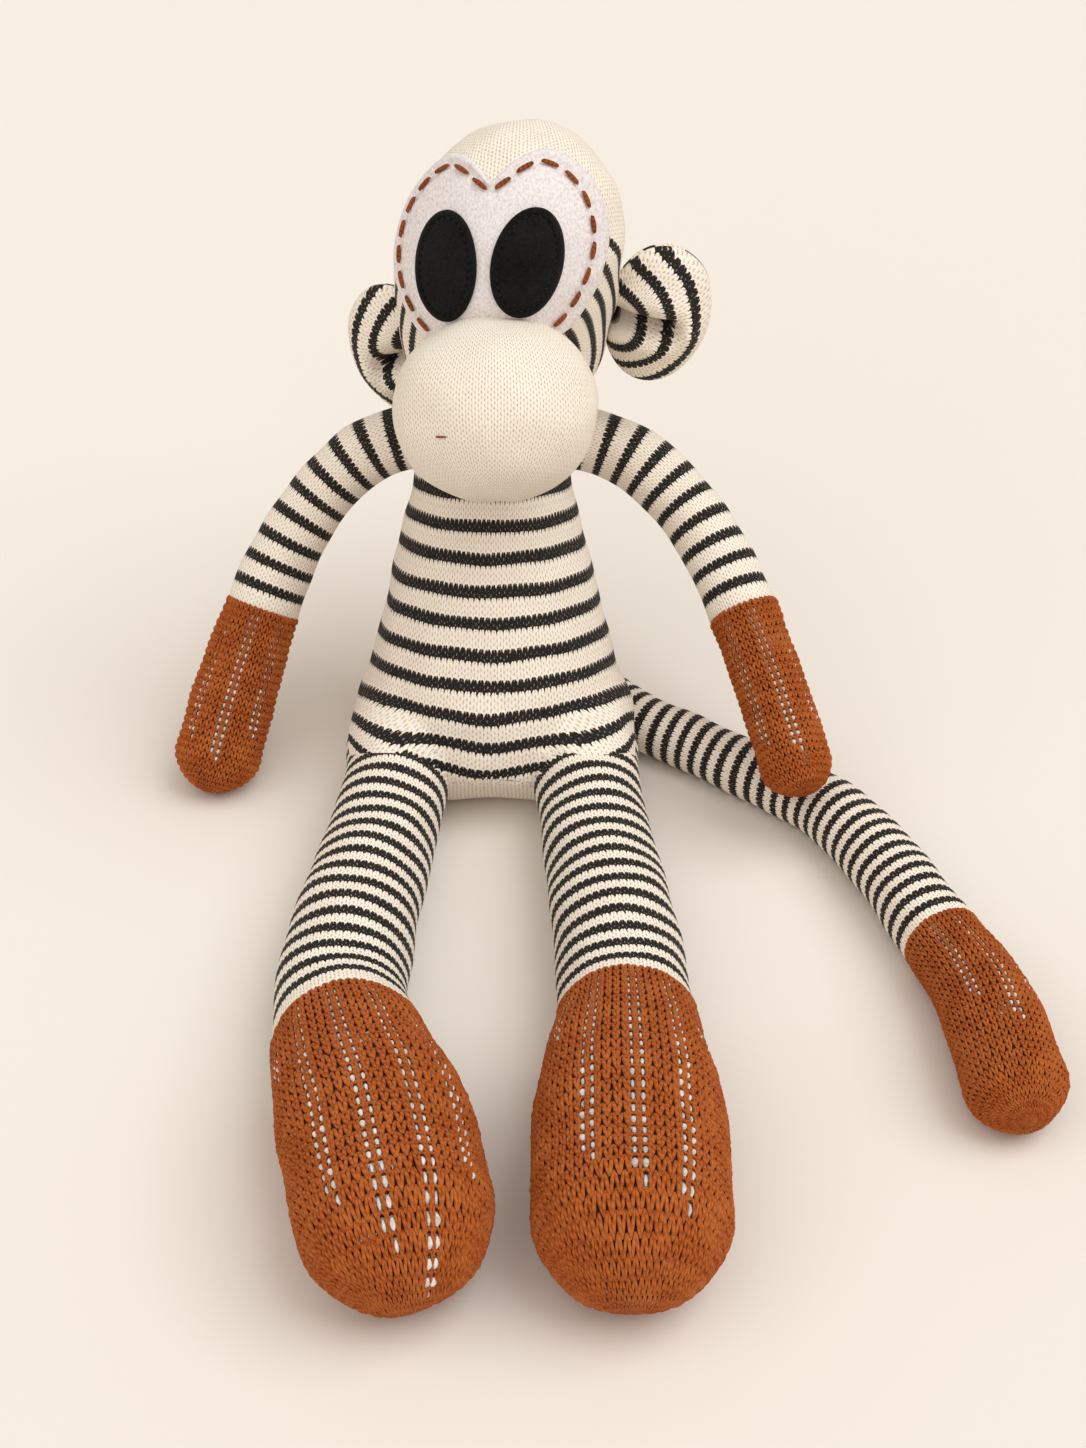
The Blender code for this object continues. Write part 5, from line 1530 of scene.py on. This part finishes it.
# %% Ears
EAR_SET_BACKS = {"left": 0.004, "right": 0.0215}
EAR_DROPS = {"left": 0.0230, "right": 0.0435}
EAR_SWEEPS = {"left": math.radians(3), "right": math.radians(-22)}
EAR_REACH, EAR_THICKNESS, EAR_HEIGHT, EAR_MIDDLE = 0.0195, 0.0125, 0.0280, 0.0165
EAR_ROW, EAR_WALES = 0.00190, 62


def ear_frame(side):
    """An ear's own frame at its joint on the head: X out of the head, and Z up along it."""
    joint = next(joint for joint in frame["joints"] if joint["name"] == f"ear_{side}_fold")
    up = Vector(joint["axis"])
    share = np.array(HEAD_LOWER_SHARE - EAR_DROPS[side] / HEAD_HEIGHT)
    width = float(smooth_through(HEAD_LEVELS[:, 0], HEAD_LEVELS[:, 1], share))
    back = EAR_SET_BACKS[side] / (width * HEAD_DEPTH / 2)
    out = HEAD_MATRIX.to_3x3() @ Vector((SIGNS[side] * math.sqrt(1 - back**2), back, 0))
    out = (out - up * out.dot(up)).normalized()
    out = Matrix.Rotation(SIGNS[side] * EAR_SWEEPS[side], 3, up) @ out
    turn = Matrix((out, up.cross(out), up)).transposed().to_4x4()
    print(f"ear_{side} faces out along", [round(value, 3) for value in out])
    return Matrix.Translation(Vector(joint["pos_m"])) @ turn


EAR_ROOTS = {side: ear_frame(side) for side in SIGNS}


def ear_skin(opening, azimuth, front, inset=0.0):
    """Points of an ear in its own frame, by the angle from its front and the turn round it."""
    opening, azimuth = np.broadcast_arrays(opening, azimuth)
    reach = np.sin(opening) ** 0.92
    x = (EAR_REACH - inset) * reach * np.cos(azimuth)
    z = (EAR_HEIGHT - inset) * reach * np.sin(azimuth)
    y = (EAR_THICKNESS - inset) * np.cos(opening)
    facing = smoothstep(np.cos(opening) * 2.2)
    # The crease runs out from the root, past the middle of the front, between two full lobes
    along = np.clip(x, -EAR_REACH, 0.0030)
    away = np.sqrt((x - along) ** 2 + z**2)
    crease = np.exp(-((away / 0.0029) ** 1.5)) * facing
    lobes = np.exp(-(((away - 0.0090) / 0.0055) ** 2)) * facing
    # A third, small lobe swells up at the end of the crease
    small = np.exp(-(((x - 0.0098) / 0.0042) ** 2 + ((z + 0.001) / 0.0048) ** 2)) * facing
    y = y - 0.0120 * crease + 0.0026 * lobes + 0.0020 * small
    return np.stack([x + EAR_MIDDLE, front * y, z], -1)


for side, sign in SIGNS.items():
    turns, share = around(160)
    closing = np.concatenate([turns, [math.tau]])
    opening = np.linspace(0.003, math.pi - 0.003, 140)
    local = ear_skin(opening[:, None], closing[None, :], -sign)
    # Rows are rings round the pinch, over the front, round the rim and back again
    x, z = local[..., 0] + 0.0008, local[..., 2]
    ring = np.sqrt(x**2 + z**2)
    rim = ring[69:71].mean(axis=0)[None, :]
    ring = np.where(opening[:, None] < math.pi / 2, ring, 2 * rim - ring + 0.003)
    rows = ring / EAR_ROW
    wales = np.arctan2(z, x) / math.tau * EAR_WALES
    local = local[:, :-1]
    local = local + unit(local - np.array((EAR_MIDDLE, 0, 0))) * lumps(local, 0.0003)[..., None]
    ear = knit_skin(f"ear_{side}_sock", placed(EAR_ROOTS[side], local), wales, rows, ear_knit)
    finish_cloth(ear, f"ear_{side}_body", "striped_knit", f"ear_{side}", fill=0.85)
    inner_turns, _ = around(40)
    local = ear_skin(
        np.linspace(0.003, math.pi - 0.003, 30)[:, None], inner_turns[None, :], -sign, 0.0025
    )
    blank = np.zeros((30, 41))
    filling = knit_skin(f"ear_{side}_filling", placed(EAR_ROOTS[side], local), blank, blank,
                        filling_fibre)
    finish_cloth(filling, f"ear_{side}_body", "stuffing", f"ear_{side}_stuffing")

# %% [markdown]
# The toy sits on plain pale paper that runs out of the picture on every side.

# %% Floor
floor_material, tree, output = new_material("pale paper")
place = add_node(tree, "ShaderNodeTexCoord").outputs["Object"]
grain = add_node(tree, "ShaderNodeTexNoise", {"Vector": place, "Scale": 900.0, "Detail": 2.0})
rough = add_node(
    tree, "ShaderNodeMapRange", {"Value": grain.outputs[0], "To Min": 0.9, "To Max": 1.0}
).outputs[0]
paper = add_node(
    tree,
    "ShaderNodeBsdfPrincipled",
    {"Base Color": linear(FLOOR), "Roughness": rough, "Specular IOR Level": 0.1},
)
tree.links.new(paper.outputs[0], output.inputs["Surface"])
mesh = bpy.data.meshes.new("floor")
half = 6.0
mesh.from_pydata([(-half, -half, 0), (half, -half, 0), (half, half, 0), (-half, half, 0)], [],
                 [(0, 1, 2, 3)])
mesh.materials.append(floor_material)
floor = bpy.data.objects.new("floor", mesh)
bpy.context.scene.collection.objects.link(floor)
floor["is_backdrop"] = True

# %% [markdown]
# The light is a wide soft window high on the viewer's right, in a pale room that fills the
# shadows. A sun lamp with a wide angle lights the whole floor alike, as a big soft box far away
# does. The camera looks 40 degrees down from in front.


# %% Light and camera
def soft_light(name, place, spread, strength, colour):
    """A far, wide light that shines from this side towards the toy."""
    lamp = bpy.data.lights.new(name, "SUN")
    lamp.angle, lamp.energy, lamp.color = math.radians(spread), strength, colour
    light = bpy.data.objects.new(name, lamp)
    light.rotation_euler = (-Vector(place)).to_track_quat("-Z", "Y").to_euler()
    bpy.context.scene.collection.objects.link(light)
    return light


soft_light("window", (0.62, -0.10, 1.0), 48, 1.36, (0.97, 1.01, 1.03))
soft_light("ceiling", (-0.30, -0.55, 1.0), 80, 1.06, (1.0, 0.995, 0.985))
world = bpy.data.worlds.new("pale room")
bpy.context.scene.world = world
world.use_nodes = True
world.node_tree.nodes.clear()
sky = add_node(
    world.node_tree, "ShaderNodeBackground", {"Color": linear("#FFF4E8"), "Strength": 0.43}
)
add_node(world.node_tree, "ShaderNodeOutputWorld", {"Surface": sky.outputs[0]})

PHOTO_HEIGHT, FOCAL_PIXELS = 1448, 2400
CAMERA_AIM, CAMERA_DISTANCE, LOOK_DOWN = Vector((0.0194, 0.0074, 0.0)), 0.9702, math.radians(40)
camera_data = bpy.data.cameras.new("camera")
camera_data.sensor_width = 36
camera_data.lens = 36 * FOCAL_PIXELS / PHOTO_HEIGHT
camera_data.clip_start = 0.01
camera = bpy.data.objects.new("camera", camera_data)
back_and_up = Vector((0, -math.cos(LOOK_DOWN), math.sin(LOOK_DOWN)))
camera.location = CAMERA_AIM + CAMERA_DISTANCE * back_and_up
camera.rotation_euler = (math.pi / 2 - LOOK_DOWN, 0, 0)
bpy.context.scene.collection.objects.link(camera)
bpy.context.scene.camera = camera
bpy.context.scene.view_settings.view_transform = "Standard"

# %% Check the size and finish
seen_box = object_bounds()
for label, box in (("CAD", cad_box), ("seen", seen_box)):
    print(label, [[round(value * 1000, 2) for value in corner] for corner in box])
